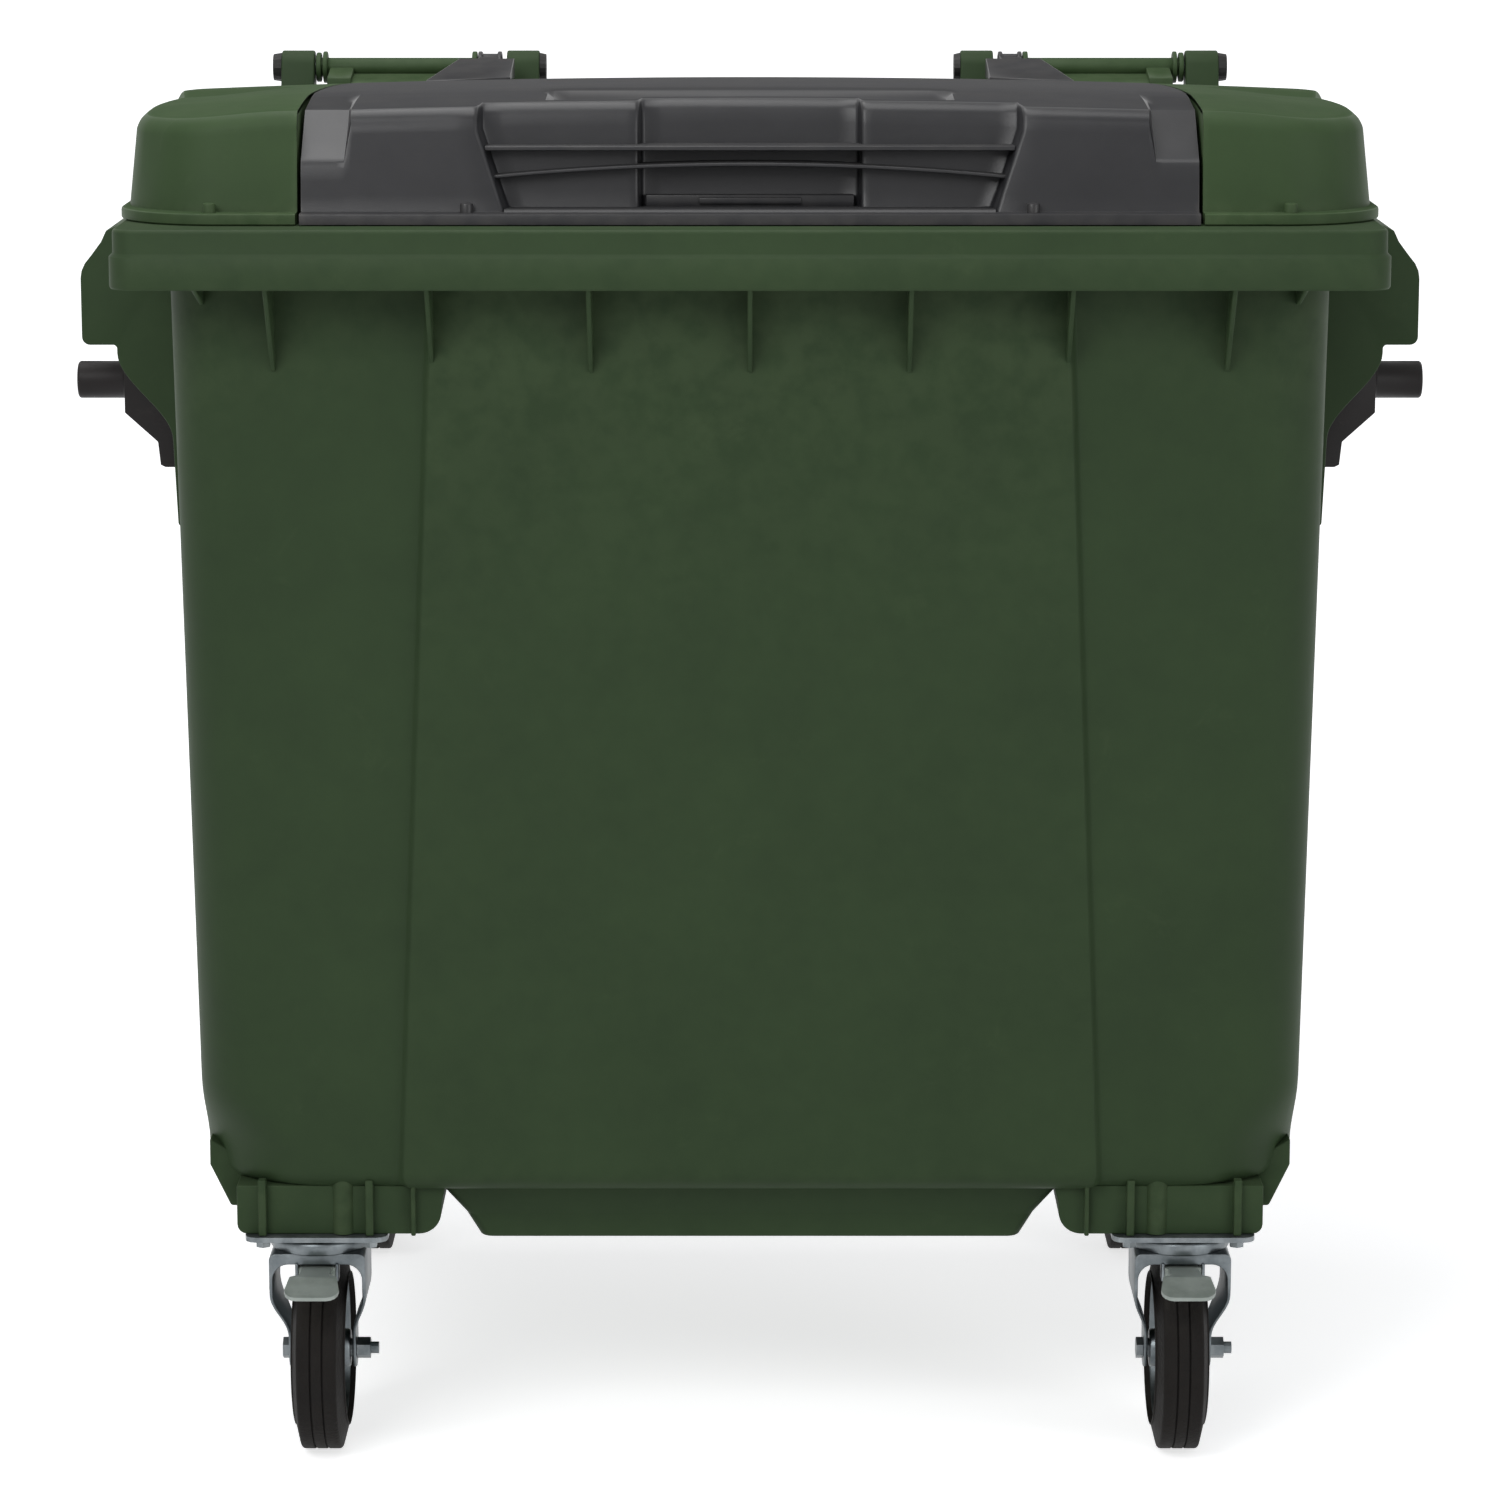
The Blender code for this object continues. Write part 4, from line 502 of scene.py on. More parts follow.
def tub_ring(z, inset, front_radius):
    """Section of the tub with its proud middle panel, whose step is eased."""
    front = front_wall(z)
    points = rounded_outline(side_wall(z), front, rear_wall(z), (front_radius, CORNER_RADIUS), inset)
    panel = between(PANEL_BOTTOM_HALF, PANEL_TOP_HALF, wall_share(z)) - inset / 2
    step = [
        (panel + PANEL_SLOPE * (1 - share), front + inset - PANEL_STEP * ease(share))
        for share in (0, 0.12, 0.3, 0.5, 0.7, 0.88, 1)
    ]
    return at_height(points + handed(step, -1) + step[::-1], z)


def tub_rings(inset, top):
    """Rings from the rounded bottom edge, past the knee where the corners narrow, to the top."""
    rings = []
    edge = BOTTOM_ROUND - inset
    for across, up in quarter(*range(0, 91, 10)):
        z = TUB_BOTTOM + BOTTOM_ROUND - edge * (1 - across)
        rings.append(tub_ring(z, inset + edge * (1 - up), LOW_CORNER_RADIUS))
    knee = TUB_BOTTOM + LOW_CORNER_HEIGHT
    for step in range(1, 7):
        share = step / 6
        radius = between(LOW_CORNER_RADIUS, CORNER_RADIUS, ease(share))
        rings.append(tub_ring(between(TUB_BOTTOM + BOTTOM_ROUND, knee, share), inset, radius))
    for step in range(1, 5):
        rings.append(tub_ring(between(knee, top, step / 4), inset, CORNER_RADIUS))
    return rings


def tub_shell():
    """Wall, floor and inside of the tub as one skin."""
    inner = tub_rings(TUB_WALL, RIM_TOP - EDGE)
    return loft(tub_rings(0, RIM_TOP - RIM_WALL / 2) + inner[::-1], smooth_angle=SHARP_SKIN)


def rim_ring(z, inset):
    radii = (RIM_RADIUS, RIM_RADIUS)
    return at_height(rounded_outline(RIM_HALF_X, -RIM_FRONT, RIM_REAR, radii, inset), z)


def mouth_ring(z, inset):
    """Ring of the rim along the tub's mouth."""
    radii = (CORNER_RADIUS, CORNER_RADIUS)
    walls = (side_wall(RIM_TOP), front_wall(RIM_TOP), rear_wall(RIM_TOP))
    return at_height(rounded_outline(*walls, radii, inset), z)


def rim():
    """Rim: a ledge with a skirt, a proud lower band and rounded edges."""
    low = RIM_TOP - RIM_DROP
    crease = low + BAND_HEIGHT
    proud = BAND_PROUD
    outside = (
        (low + EDGE, EDGE / 3), (low + EDGE * 2, 0), (crease - EDGE / 2, 0), (crease, proud * 0.12),
        (crease + proud * 0.8, proud * 0.88), (crease + proud + EDGE / 2, proud),
    )
    edge = ((3, 0), (1.6, 0.3), (0.6, 1.1), (0.1, 2.2), (0, 3.4))
    mouth = ((RIM_TOP, TUB_WALL - EDGE), (RIM_TOP - EDGE, TUB_WALL), (RIM_TOP - RIM_WALL, TUB_WALL))
    inside = (
        (RIM_TOP - RIM_WALL, RIM_WALL + proud), (crease, RIM_WALL + proud),
        (low + EDGE, RIM_WALL + EDGE / 2), (low, RIM_WALL - EDGE / 2), (low, EDGE),
    )
    rings = [rim_ring(*level) for level in outside]
    rings += [rim_ring(RIM_TOP - EDGE * down, proud + EDGE * inward) for down, inward in edge]
    rings += [mouth_ring(*level) for level in mouth] + [rim_ring(*level) for level in inside]
    return loft(rings, closed=True)


def rib_outline(wall_y, toe_wall_y, skirt_y, drop):
    inward = TUB_WALL / 2 if wall_y > skirt_y else -TUB_WALL / 2
    top = RIM_TOP - RIM_WALL / 2
    toe = RIM_TOP - RIM_DROP - drop
    tip = math.copysign(RIB_TOE, inward)
    return [
        (wall_y + inward, top), (skirt_y, top), (skirt_y, RIM_TOP - RIM_DROP + EDGE),
        (toe_wall_y - tip, toe + RIB_TOE / 2), (toe_wall_y - tip / 2, toe), (toe_wall_y + inward, toe),
    ]


def ribs():
    """Ribs under the rim on all four sides."""
    half = RIB_THICK / 2
    skirt = RIM_WALL - RIM_FRONT
    toe = RIM_TOP - RIM_DROP - RIB_DROP
    rear = rib_outline(rear_wall(RIM_TOP), rear_wall(toe), RIM_REAR - RIM_WALL, RIB_DROP)
    drawn = []
    for index in range(-3, 4):
        x = index * RIB_PITCH
        step = PANEL_STEP if abs(x) < PANEL_TOP_HALF else 0
        front = rib_outline(front_wall(RIM_TOP) - step, front_wall(toe) - step, skirt, RIB_DROP)
        drawn += [(front, "yz", x), (rear, "yz", x)]
    toe = RIM_TOP - RIM_DROP - END_RIB_DROP
    corner = front_wall(toe) + CORNER_RADIUS / 3
    end = rib_outline(corner, corner, skirt, END_RIB_DROP)
    side = rib_outline(side_wall(RIM_TOP), side_wall(toe), RIM_HALF_X - RIM_WALL, END_RIB_DROP)
    for hand in (-1, 1):
        drawn.append((end, "yz", hand * END_RIB_X))
        drawn += [(handed(side, hand), "xz", y) for y in (-SIDE_RIB_Y, SIDE_RIB_Y)]
    made = [prism(outline, plane, place - half, place + half) for outline, plane, place in drawn]
    return merged("rim_ribs", [round_edges(piece, EDGE * 0.7, 2) for piece in made])


def hood_line(inset):
    """Outer line of the hood from the rim round its brow to its rounded lip."""
    points = [(RIM_HALF_X - RIM_WALL - inset, RIM_TOP - RIM_WALL * 2 - inset)]
    points += [(x - inset, RIM_TOP - drop - inset * 0.8) for x, drop in HOOD_BROW_LINE]
    turn = HOOD_WALL * 1.6
    return points + arc((HOOD_OUT - turn, RIM_TOP - HOOD_DEPTH + turn), turn - inset, 0, -90, 6)


def end_plate_outline():
    """End plate of a hood, running on as the cheek down an S curve to the wall."""
    lip_z = RIM_TOP - HOOD_DEPTH
    foot_z = RIM_TOP - CHEEK_DEPTH
    points = hood_line(0) + [(HOOD_LIP_IN + EDGE * 2, lip_z), (HOOD_LIP_IN, lip_z - EDGE * 2)]
    toe = (CHEEK_TOE_OUT, RIM_TOP - CHEEK_TOE_DROP)
    points += s_curve((HOOD_LIP_IN, lip_z - HOOD_WALL * 1.6), toe, 16)
    points.append((CHEEK_TOE_OUT - BAND_PROUD, foot_z))
    for wall_z, rise in ((foot_z, -CHEEK_FOOT), (lip_z, HOOD_WALL), (RIM_TOP, RIM_WALL * -2)):
        points.append((side_wall(wall_z) - TUB_WALL / 2, wall_z + rise))
    return points


def hoods():
    """Hollow hoods, their end plates with cheeks, and the thin ribs ahead of them."""
    made = []
    inside = HOOD_HALF_Y - HOOD_WALL / 2
    skin = hood_line(0) + hood_line(HOOD_WALL)[::-1]
    for hand in (1, -1):
        shell = prism(handed(skin, hand), "xz", -inside, inside)
        made.append(round_edges(shell, EDGE, 3, 40))
        for end in (-1, 1):
            outline = handed(end_plate_outline(), hand)
            plate = prism(outline, "xz", end * HOOD_HALF_Y, end * (HOOD_HALF_Y - HOOD_WALL))
            made.append(round_edges(plate, EDGE, 3, 40))
            low = (hand * THIN_RIB_X, end * inside, THIN_RIB_LOW)
            face = end * (HOOD_HALF_Y + EDGE * 2)
            high = (hand * (THIN_RIB_X - HOOD_WALL), face, RIM_TOP - RIM_DROP + EDGE)
            made.append(round_edges(slab(low, high), EDGE, 2))
    return merged("trunnion_hoods", made)


def foot_outline():
    """Foot seen from the front: rounded on the inside, chamfered on the outside."""
    top = TUB_BOTTOM + TUB_WALL / 2
    turn = FOOT_IN_ROUND
    points = [(FOOT_IN - EDGE * 4, top), (FOOT_IN, FOOT_BOTTOM + turn * 1.4)]
    points += arc((FOOT_IN + turn, FOOT_BOTTOM + turn), turn, 190, 270, 8)
    points += arc((FOOT_OUT - FOOT_CHAMFER, FOOT_BOTTOM + FOOT_CHAMFER), FOOT_CHAMFER, -90, 0, 4)
    return points + [(FOOT_OUT, top)]


def caster_foot(hand, end):
    """Caster foot with its shoulder, ribs and boss, hollow behind its face."""
    top = TUB_BOTTOM + TUB_WALL * 2
    low_z = FOOT_BOTTOM + EDGE / 4
    middle = CASTER_MIDDLE_Y + end * CASTER_HALF_PITCH
    face = middle + end * FOOT_FRONT_REACH
    back = middle - end * FOOT_BACK_REACH
    inner, outer = FOOT_IN + FOOT_IN_ROUND, FOOT_OUT - FOOT_CHAMFER
    foot = prism(handed(foot_outline(), hand), "xz", face, back)
    low = (hand * (inner + TUB_WALL), face - end * TUB_WALL, FOOT_BOTTOM - TUB_WALL)
    high = (hand * (outer - TUB_WALL), back + end * TUB_WALL, TUB_BOTTOM - TUB_WALL)
    carve(foot, [slab(low, high)])
    shoulder = [
        (FOOT_OUT - TUB_WALL, TUB_BOTTOM + BOTTOM_ROUND), (FOOT_OUT - TUB_WALL, SHOULDER_LOW),
        (SHOULDER_LOW_OUT, SHOULDER_LOW), (SHOULDER_OUT, SHOULDER_HIGH),
        (SHOULDER_OUT, TUB_BOTTOM + BOTTOM_ROUND * 2),
    ]
    block = prism(handed(shoulder, hand), "xz", middle, back + end * TUB_WALL)
    made = [round_edges(foot, EDGE, 3, 40), round_edges(block, EDGE * 2, 3)]
    bolt_x = hand * CASTER_X
    outer_ribs = [(bolt_x + PLATE_BOLT_X, 0.85), (bolt_x - PLATE_BOLT_X, 0.85)]
    for x, share in [*outer_ribs, (hand * (inner + TUB_WALL), 0.5)]:
        low = (x - RIB_THICK * share, face - end * TUB_WALL / 2, low_z)
        high = (x + RIB_THICK * share, face + end * FOOT_RIB_PROUD, top)
        made.append(round_edges(slab(low, high), EDGE, 2))
    low = FOOT_BOTTOM + EDGE / 2
    profile = [(POLE * 2, low), (FOOT_BOSS_RADIUS, low), (FOOT_BOSS_RADIUS, top), (POLE * 2, top)]
    centre = (bolt_x - hand * PLATE_BOLT_X / 2, face - end * TUB_WALL, 0)
    made.append(spun(profile, centre, "z", 32, closed=False))
    low = (hand * inner, middle - RIB_THICK / 2, low_z)
    made.append(slab(low, (hand * outer, middle + RIB_THICK / 2, top)))
    return made


def feet():
    """The four caster feet."""
    pieces = [caster_foot(hand, end) for hand in (-1, 1) for end in (-1, 1)]
    return merged("caster_feet", sum(pieces, []))


def trough():
    """Trough along the middle of the floor, with its lip."""
    levels = (
        (TROUGH_BOTTOM, TROUGH_LIP_HALF - EDGE, TROUGH_SET_BACK + EDGE),
        (TROUGH_BOTTOM + EDGE, TROUGH_LIP_HALF, TROUGH_SET_BACK),
        (TROUGH_LIP - EDGE, TROUGH_LOW_HALF, TROUGH_SET_BACK),
        (TROUGH_LIP, TROUGH_LOW_HALF + EDGE / 2, TROUGH_SET_BACK - EDGE / 2),
        (TUB_BOTTOM, TROUGH_TOP_HALF - EDGE / 2, EDGE),
        (TUB_BOTTOM + BOTTOM_ROUND / 2, TROUGH_TOP_HALF, 0),
    )
    rings = []
    for z, half, back in levels:
        ends = (CASTER_MIDDLE_Y - TROUGH_REACH + back, CASTER_MIDDLE_Y + TROUGH_REACH - back)
        rings.append(at_height(rounded_outline(half, *ends, (TROUGH_CORNER, TROUGH_CORNER), steps=8), z))
    return loft(rings)


def towers():
    """Hinge towers, rounded over the pin, on a stepped base."""
    made = []
    front = RIM_REAR - TOWER_BASE
    rear = RIM_REAR - RIM_WALL
    seat = RIM_TOP - RIM_WALL / 2
    points = [(front, seat), (front, RIM_TOP + TOWER_BASE)]
    points += arc((HINGE_Y, HINGE_Z), TOWER_RADIUS, 170, -20, 28)
    points += [(RIM_REAR - RIM_WALL / 2, RIM_TOP - RIM_DROP / 2), (rear, seat)]
    base = [
        (front - TUB_WALL, seat), (front - TUB_WALL, RIM_TOP + TUB_WALL), (front, RIM_TOP + TUB_WALL * 2),
        (rear, RIM_TOP + TUB_WALL * 2), (rear, seat),
    ]
    for hand in (1, -1):
        for low, high in (OUTER_TOWER, INNER_TOWER):
            tower = prism(points, "yz", hand * low, hand * high)
            foot = prism(base, "yz", hand * (low - TUB_WALL / 2), hand * (high + TUB_WALL / 2))
            made += [round_edges(tower, EDGE * 1.6, 4), round_edges(foot, EDGE, 2)]
    return merged("hinge_towers", made)


# Materials
def join(tree, made, links):
    """Links a node's inputs to sockets, or sets them to constants."""
    for label, value in links.items():
        if isinstance(value, bpy.types.NodeSocket):
            tree.links.new(value, made.inputs[label])
        else:
            made.inputs[label].default_value = value


def add_node(tree, kind, links=(), **values):
    """Node with its settings and inputs; gives its usual output, or all where none is usual."""
    made = tree.nodes.new("ShaderNode" + kind)
    for label, value in values.items():
        setattr(made, label, value)
    join(tree, made, dict(links))
    return made.outputs[USUAL_OUTPUT[kind]] if kind in USUAL_OUTPUT else made.outputs


def new_group(name, inputs, outputs):
    """Shader node group with named number inputs, as sockets to read and the node to fill."""
    group = bpy.data.node_groups.new(name, "ShaderNodeTree")
    for label, value in inputs.items():
        socket = group.interface.new_socket(label, in_out="INPUT", socket_type="NodeSocketFloat")
        socket.default_value = value
    for label in outputs:
        group.interface.new_socket(label, in_out="OUTPUT", socket_type="NodeSocketFloat")
    return group, group.nodes.new("NodeGroupInput").outputs, group.nodes.new("NodeGroupOutput")


def noise(tree, size, detail, rough=0.5, **links):
    if "Vector" not in links:
        links["Vector"] = add_node(tree, "TexCoord")
    return add_node(tree, "TexNoise", {"Scale": size, "Detail": detail, "Roughness": rough, **links})


def mix(tree, factor, first, second, kind="FLOAT"):
    return add_node(tree, "Mix", {"Factor": factor, "A": first, "B": second}, data_type=kind)


def maths(tree, operation, *terms, **values):
    return add_node(tree, "Math", dict(enumerate(terms)), operation=operation, **values)


def spread(tree, value, low, high, to_low=0.0, to_high=1.0):
    """Value between low and high, spread over the range from to_low to to_high."""
    links = {"Value": value, "From Min": low, "From Max": high, "To Min": to_low, "To Max": to_high}
    return add_node(tree, "MapRange", links)


def surface_grain():
    """Fine moulded or rolled grain with broad waves: height, tone and gloss masks."""
    inputs = {"Grain Size": 900.0, "Wave Size": 7.0, "Wave Share": 0.25}
    group, given, leave = new_group("surface grain", inputs, ("Height", "Tone", "Gloss"))
    grain = noise(group, given["Grain Size"], 3.0, 0.6)
    wave = noise(group, given["Wave Size"], 4.0, 0.55)
    cloud = noise(group, 31.0, 5.0, 0.65)
    join(group, leave, {
        "Height": mix(group, given["Wave Share"], grain, wave),
        "Tone": mix(group, 0.4, wave, cloud),
        "Gloss": mix(group, 0.6, wave, cloud),
    })
    return group


def edge_wear():
    """Mask of rubbed edges, broken up by noise; the same mask also paints a highlight along sharp edges.
    """
    inputs = {"Start": 0.52, "Full": 0.62, "Break Up": 45.0}
    group, given, leave = new_group("edge wear", inputs, ("Mask",))
    pointed = add_node(group, "NewGeometry")["Pointiness"]
    edge = spread(group, pointed, given["Start"], given["Full"])
    broken = spread(group, noise(group, given["Break Up"], 6.0), 0.35, 0.6)
    join(group, leave, {"Mask": maths(group, "MULTIPLY", edge, broken)})
    return group


def dust_and_scuffs():
    """Masks of dust on upward faces, of fine scuff lines and of level faces."""
    inputs = {"Dust Start": 0.3, "Scuff Size": 14.0, "Scuff Share": 0.35}
    group, given, leave = new_group("dust and scuffs", inputs, ("Dust", "Scuffs", "Settled"))
    normal = add_node(group, "NewGeometry")["Normal"]
    upward = add_node(group, "SeparateXYZ", {"Vector": normal})["Z"]
    facing = spread(group, upward, given["Dust Start"], 1.0)
    patch = spread(group, noise(group, 19.0, 8.0, 0.7), 0.42, 0.72)
    turned = {"Vector": add_node(group, "TexCoord"), "Rotation": (0.4, 0.3, 0.5), "Scale": (1, 9, 1)}
    stretch = add_node(group, "Mapping", turned)
    lines = noise(group, given["Scuff Size"], 9.0, 0.75, Vector=stretch, Distortion=0.6)
    join(group, leave, {
        "Dust": maths(group, "MULTIPLY", facing, patch),
        "Scuffs": spread(group, lines, 0.6, 0.72, 0.0, given["Scuff Share"]),
        "Settled": spread(group, upward, 0.94, 0.99),
    })
    return group


def from_screen(red, green, blue):
    """Linear colour of a screen colour from 0 to 255."""
    linear = []
    for value in (red, green, blue):
        share = value / 255
        linear.append(share / 12.92 if share <= 0.04045 else ((share + 0.055) / 1.055) ** 2.4)
    return (*linear, 1)


def surface(name, dark, light, worn_and_highlight_tone, roughness, **changes):
    """Material with tone, edge wear that is also a painted edge highlight, dust, scuffs, roughness and
    relief of its own.
    """
    looks = PLAIN_LOOKS | changes
    material = bpy.data.materials.new(name)
    material.use_nodes = True
    tree = material.node_tree
    dark, light, worn_and_highlight_tone = (from_screen(*tone) for tone in (dark, light, worn_and_highlight_tone))
    sizes = {"Grain Size": looks["grain_size"], "Wave Size": looks["wave_size"]}
    grain = add_node(tree, "Group", sizes, node_tree=GRAIN)
    wear = add_node(tree, "Group", node_tree=EDGE_WEAR_AND_HIGHLIGHT)
    dust = add_node(tree, "Group", {"Scuff Share": looks["scuffs"]}, node_tree=DUST)
    colour = mix(tree, spread(tree, grain["Tone"], 0.35, 0.65), dark, light, "RGBA")
    # Lighter tone on sharp edges: partly rubbed wear, partly a painted highlight where rounded edges
    # would catch the light.
    colour = mix(tree, maths(tree, "MULTIPLY", wear["Mask"], looks["wear"]), colour, worn_and_highlight_tone, "RGBA")
    colour = mix(tree, dust["Scuffs"], colour, worn_and_highlight_tone, "RGBA")
    dusty = maths(tree, "MULTIPLY", dust["Dust"], looks["dust"])
    colour = mix(tree, dusty, colour, from_screen(*DUST_TONE), "RGBA")
    around = looks["rough_spread"]
    rough = spread(tree, grain["Gloss"], 0.3, 0.7, roughness - around, roughness + around)
    rough = maths(tree, "MULTIPLY_ADD", dusty, 0.5, rough)
    rough = maths(tree, "MULTIPLY_ADD", dust["Settled"], looks["dull"], rough, use_clamp=True)
    bumps = {"Height": grain["Height"], "Strength": looks["relief"], "Distance": looks["relief_depth"]}
    join(tree, tree.nodes["Principled BSDF"], {
        "Base Color": colour,
        "Roughness": rough,
        "Metallic": looks["metallic"],
        "IOR": 1.48,
        "Specular IOR Level": looks["shine"],
        "Normal": add_node(tree, "Bump", bumps),
    })
    return material


USUAL_OUTPUT = {
    "TexCoord": "Object", "TexNoise": "Fac", "Mapping": "Vector", "MapRange": "Result", "Mix": "Result",
    "Math": "Value", "VectorMath": "Value", "Bump": "Normal", "Emission": "Emission",
    "Background": "Background", "MixShader": "Shader", "AddShader": "Shader",
}
PLAIN_LOOKS = {
    "grain_size": 900.0, "wave_size": 7.0, "wear": 0.5, "scuffs": 0.3, "dust": 0.2, "rough_spread": 0.08,
    "dull": 0.4, "metallic": 0.0, "shine": 0.5, "relief": 0.25, "relief_depth": 0.0006,
}
DUST_TONE = (120, 116, 104)
GRAIN = surface_grain()
# Edge mask for rubbed wear, which also paints a highlight on sharp edges.
EDGE_WEAR_AND_HIGHLIGHT = edge_wear()
DUST = dust_and_scuffs()
GREEN_LOOKS = {"relief": 0.16, "wear": 0.3, "scuffs": 0.08, "rough_spread": 0.04}
MATERIALS = {
    "green_plastic": surface(
        "moulded_green", (42, 57, 36), (47, 63, 40), (84, 98, 70), 0.56,
        dust=0.05, shine=0.12, **GREEN_LOOKS,
    ),
    "green_lid_plastic": surface(
        "lid_green", (48, 65, 40), (53, 71, 44), (92, 106, 78), 0.52,
        dust=0.04, shine=0.13, dull=0.6, **GREEN_LOOKS,
    ),
    "dark_grey_plastic": surface(
        "lid_grey", (34, 34, 36), (39, 39, 41), (86, 83, 80), 0.33,
        relief=0.18, wear=0.3, dust=0.04, scuffs=0.06, shine=0.30, rough_spread=0.03, dull=0.70,
    ),
    "black_plastic": surface(
        "cap_black", (22, 22, 22), (28, 28, 28), (70, 70, 68), 0.45, wear=0.25, shine=0.2, dust=0.05,
    ),
    "black_painted_steel": surface(
        "trunnion_paint", (16, 13, 13), (22, 18, 18), (60, 55, 50), 0.45,
        wear=0.25, grain_size=500.0, shine=0.2, dust=0.04,
    ),
    "zinc_plated_steel": surface(
        "zinc", (78, 84, 87), (112, 118, 121), (150, 154, 156), 0.38,
        metallic=1.0, grain_size=350.0, wave_size=60.0, relief=0.15, dust=0.06, dull=0.1,
    ),
    "pressed_steel": surface(
        "pedal_steel", (118, 126, 120), (136, 144, 138), (170, 176, 172), 0.36,
        metallic=0.35, grain_size=300.0, wave_size=50.0, relief=0.12, dust=0.03, dull=0.05,
    ),
    "black_rubber": surface(
        "tyre_rubber", (15, 13, 12), (24, 21, 19), (56, 52, 47), 0.72,
        wear=0.25, grain_size=260.0, relief=0.8, relief_depth=0.0016, dust=0.12, shine=0.16, scuffs=0.12,
    ),
}


# Lids
def crest(x, y):
    """Height of the lids' crowned top."""
    if y > CREST_Y:
        fall = CREST_FALL_REAR * ((y - CREST_Y) / CREST_SPAN_REAR) ** 1.4
    else:
        fall = CREST_FALL_FRONT * ((CREST_Y - y) / CREST_SPAN_FRONT) ** 1.6
    return CREST_Z - CREST_FALL_X * (x / CREST_SPAN_X) ** 2 - fall


def past_step(y):
    """Share from 0 ahead of the step in the large lid's side to 1 behind it."""
    return ease(y, SHOULDER_STEP_Y, SHOULDER_STEP_Y + SHOULDER_STEP)


def large_crest(x, y):
    """Top of the large lid: the crown, let down at its sides as far as the step."""
    return crest(x, y) - SIDE_DIP * (1 - past_step(y)) * ease(abs(x), SIDE_DIP_IN, SIDE_DIP_OUT)


def border_with_inward():
    """The large lid's outline with straight runs divided, as points and inward directions."""
    points = rounded_outline(LID_HALF_X, -LID_FRONT, LID_REAR, (LID_CORNER, LID_REAR_CORNER))
    dense = []
    for start, end in zip(points, points[1:] + points[:1]):
        pieces = max(1, round(math.dist(start, end) / BORDER_STEP))
        for piece in range(pieces):
            dense.append([between(near, far, piece / pieces) for near, far in zip(start, end)])
    found = []
    for before, here, after in zip(dense[-1:] + dense, dense, dense[1:] + dense[:1]):
        along = Vector((after[0] - before[0], after[1] - before[1])).normalized()
        found.append((Vector(here), Vector((-along.y, along.x))))
    return found


def large_lid_ring(border, kind, value):
    """Ring of the large lid's shell, at a share of its wall, its rounded edge or its top."""
    ring = []
    for place, inward in border:
        radius = between(FRONT_SHOULDER, REAR_SHOULDER, past_step(place.y))
        lean = LID_LEAN if inward.y > 0.5 else LID_SIDE_LEAN
        shoulder = place + inward * (lean + radius * EDGE_REACH)
        low = large_crest(*shoulder) - radius
        if kind == "wall":
            spot = place + inward * lean * value
            z = between(FLANGE_LOW + EDGE, low, value)
        elif kind == "edge":
            turn = value * math.pi / 2
            round_in = between(1 - math.cos(turn), value, EDGE_FLATNESS)
            spot = place + inward * (lean + radius * EDGE_REACH * round_in)
            z = low + radius * between(math.sin(turn), value, EDGE_FLATNESS)
        else:
            spot = shoulder * value
            z = large_crest(*spot)
        ring.append((*spot, z))
    return ring


def large_lid_shell():
    """Crowned shell of the large lid, with its window cut through."""
    levels = [("wall", share) for share in (0, 0.25, 0.5, 0.75, 0.95)]
    levels += [("edge", step / 8) for step in range(9)]
    inward = (0.98, 0.95, 0.91, 0.86, 0.8, 0.7, 0.58, 0.45, 0.3, 0.15, 0.01)
    levels += [("top", share) for share in inward]
    border = border_with_inward()
    rings = [large_lid_ring(border, *level) for level in levels]
    skin = loft(rings, caps=(-1,), smooth_angle=SHARP_SKIN)
    return carve(thicken(skin, LID_WALL, SHARP_SKIN), [window_cutter(CREST_Z)])


def window_cutter(high_z):
    low = (-WINDOW_HALF_X, -FLANGE_FRONT - TUB_WALL, FLANGE_LOW - TUB_WALL)
    return slab(low, (WINDOW_HALF_X, WINDOW_REAR, high_z + TUB_WALL))


def window_walls():
    """Walls round the window, under the seam with the small lid."""
    made = []
    front = LID_LEAN - LID_FRONT
    base = FLANGE_LOW + EDGE
    back = [between(front + FRONT_SHOULDER, WINDOW_REAR, step / 30) for step in range(31)]
    outline = [(y, crest(WINDOW_HALF_X, y) - EDGE) for y in back] + [(WINDOW_REAR, base), (front, base)]
    outline.append((front, crest(WINDOW_HALF_X, front) - FRONT_SHOULDER))
    for hand in (1, -1):
        ends = (hand * WINDOW_HALF_X, hand * (WINDOW_HALF_X + LID_WALL))
        made.append(prism(outline, "yz", *ends))
    across = [WINDOW_HALF_X * (step / 12 - 1) for step in range(25)]
    outline = [(x, crest(x, WINDOW_REAR) - EDGE) for x in across]
    outline += [(WINDOW_HALF_X, FLANGE_HIGH), (-WINDOW_HALF_X, FLANGE_HIGH)]
    return made + [prism(outline, "xz", WINDOW_REAR, WINDOW_REAR + LID_WALL)]


def large_lid_flange():
    """Ledge round the large lid, cut where the small lid comes through."""
    top = FLANGE_HIGH
    levels = (
        (FLANGE_LOW, EDGE), (FLANGE_LOW + EDGE, 0), (top - EDGE * 2, 0),
        (top - EDGE * 0.7, EDGE * 0.35), (top, EDGE * 1.6), (top, LEDGE_WIDTH * 2.2),
    )
    sides = (FLANGE_HALF_X, -FLANGE_FRONT, FLANGE_REAR, (LID_CORNER, LID_REAR_CORNER))
    ledge = loft([at_height(rounded_outline(*sides, inset), z) for z, inset in levels])
    half = LID_HALF_X - LID_CORNER / 3
    low = (-half, -LID_FRONT + LID_LEAN * 2, FLANGE_LOW - TUB_WALL)
    high = (half, LID_REAR - LID_LEAN, FLANGE_HIGH + TUB_WALL)
    return carve(ledge, [window_cutter(FLANGE_HIGH), slab(low, high)])


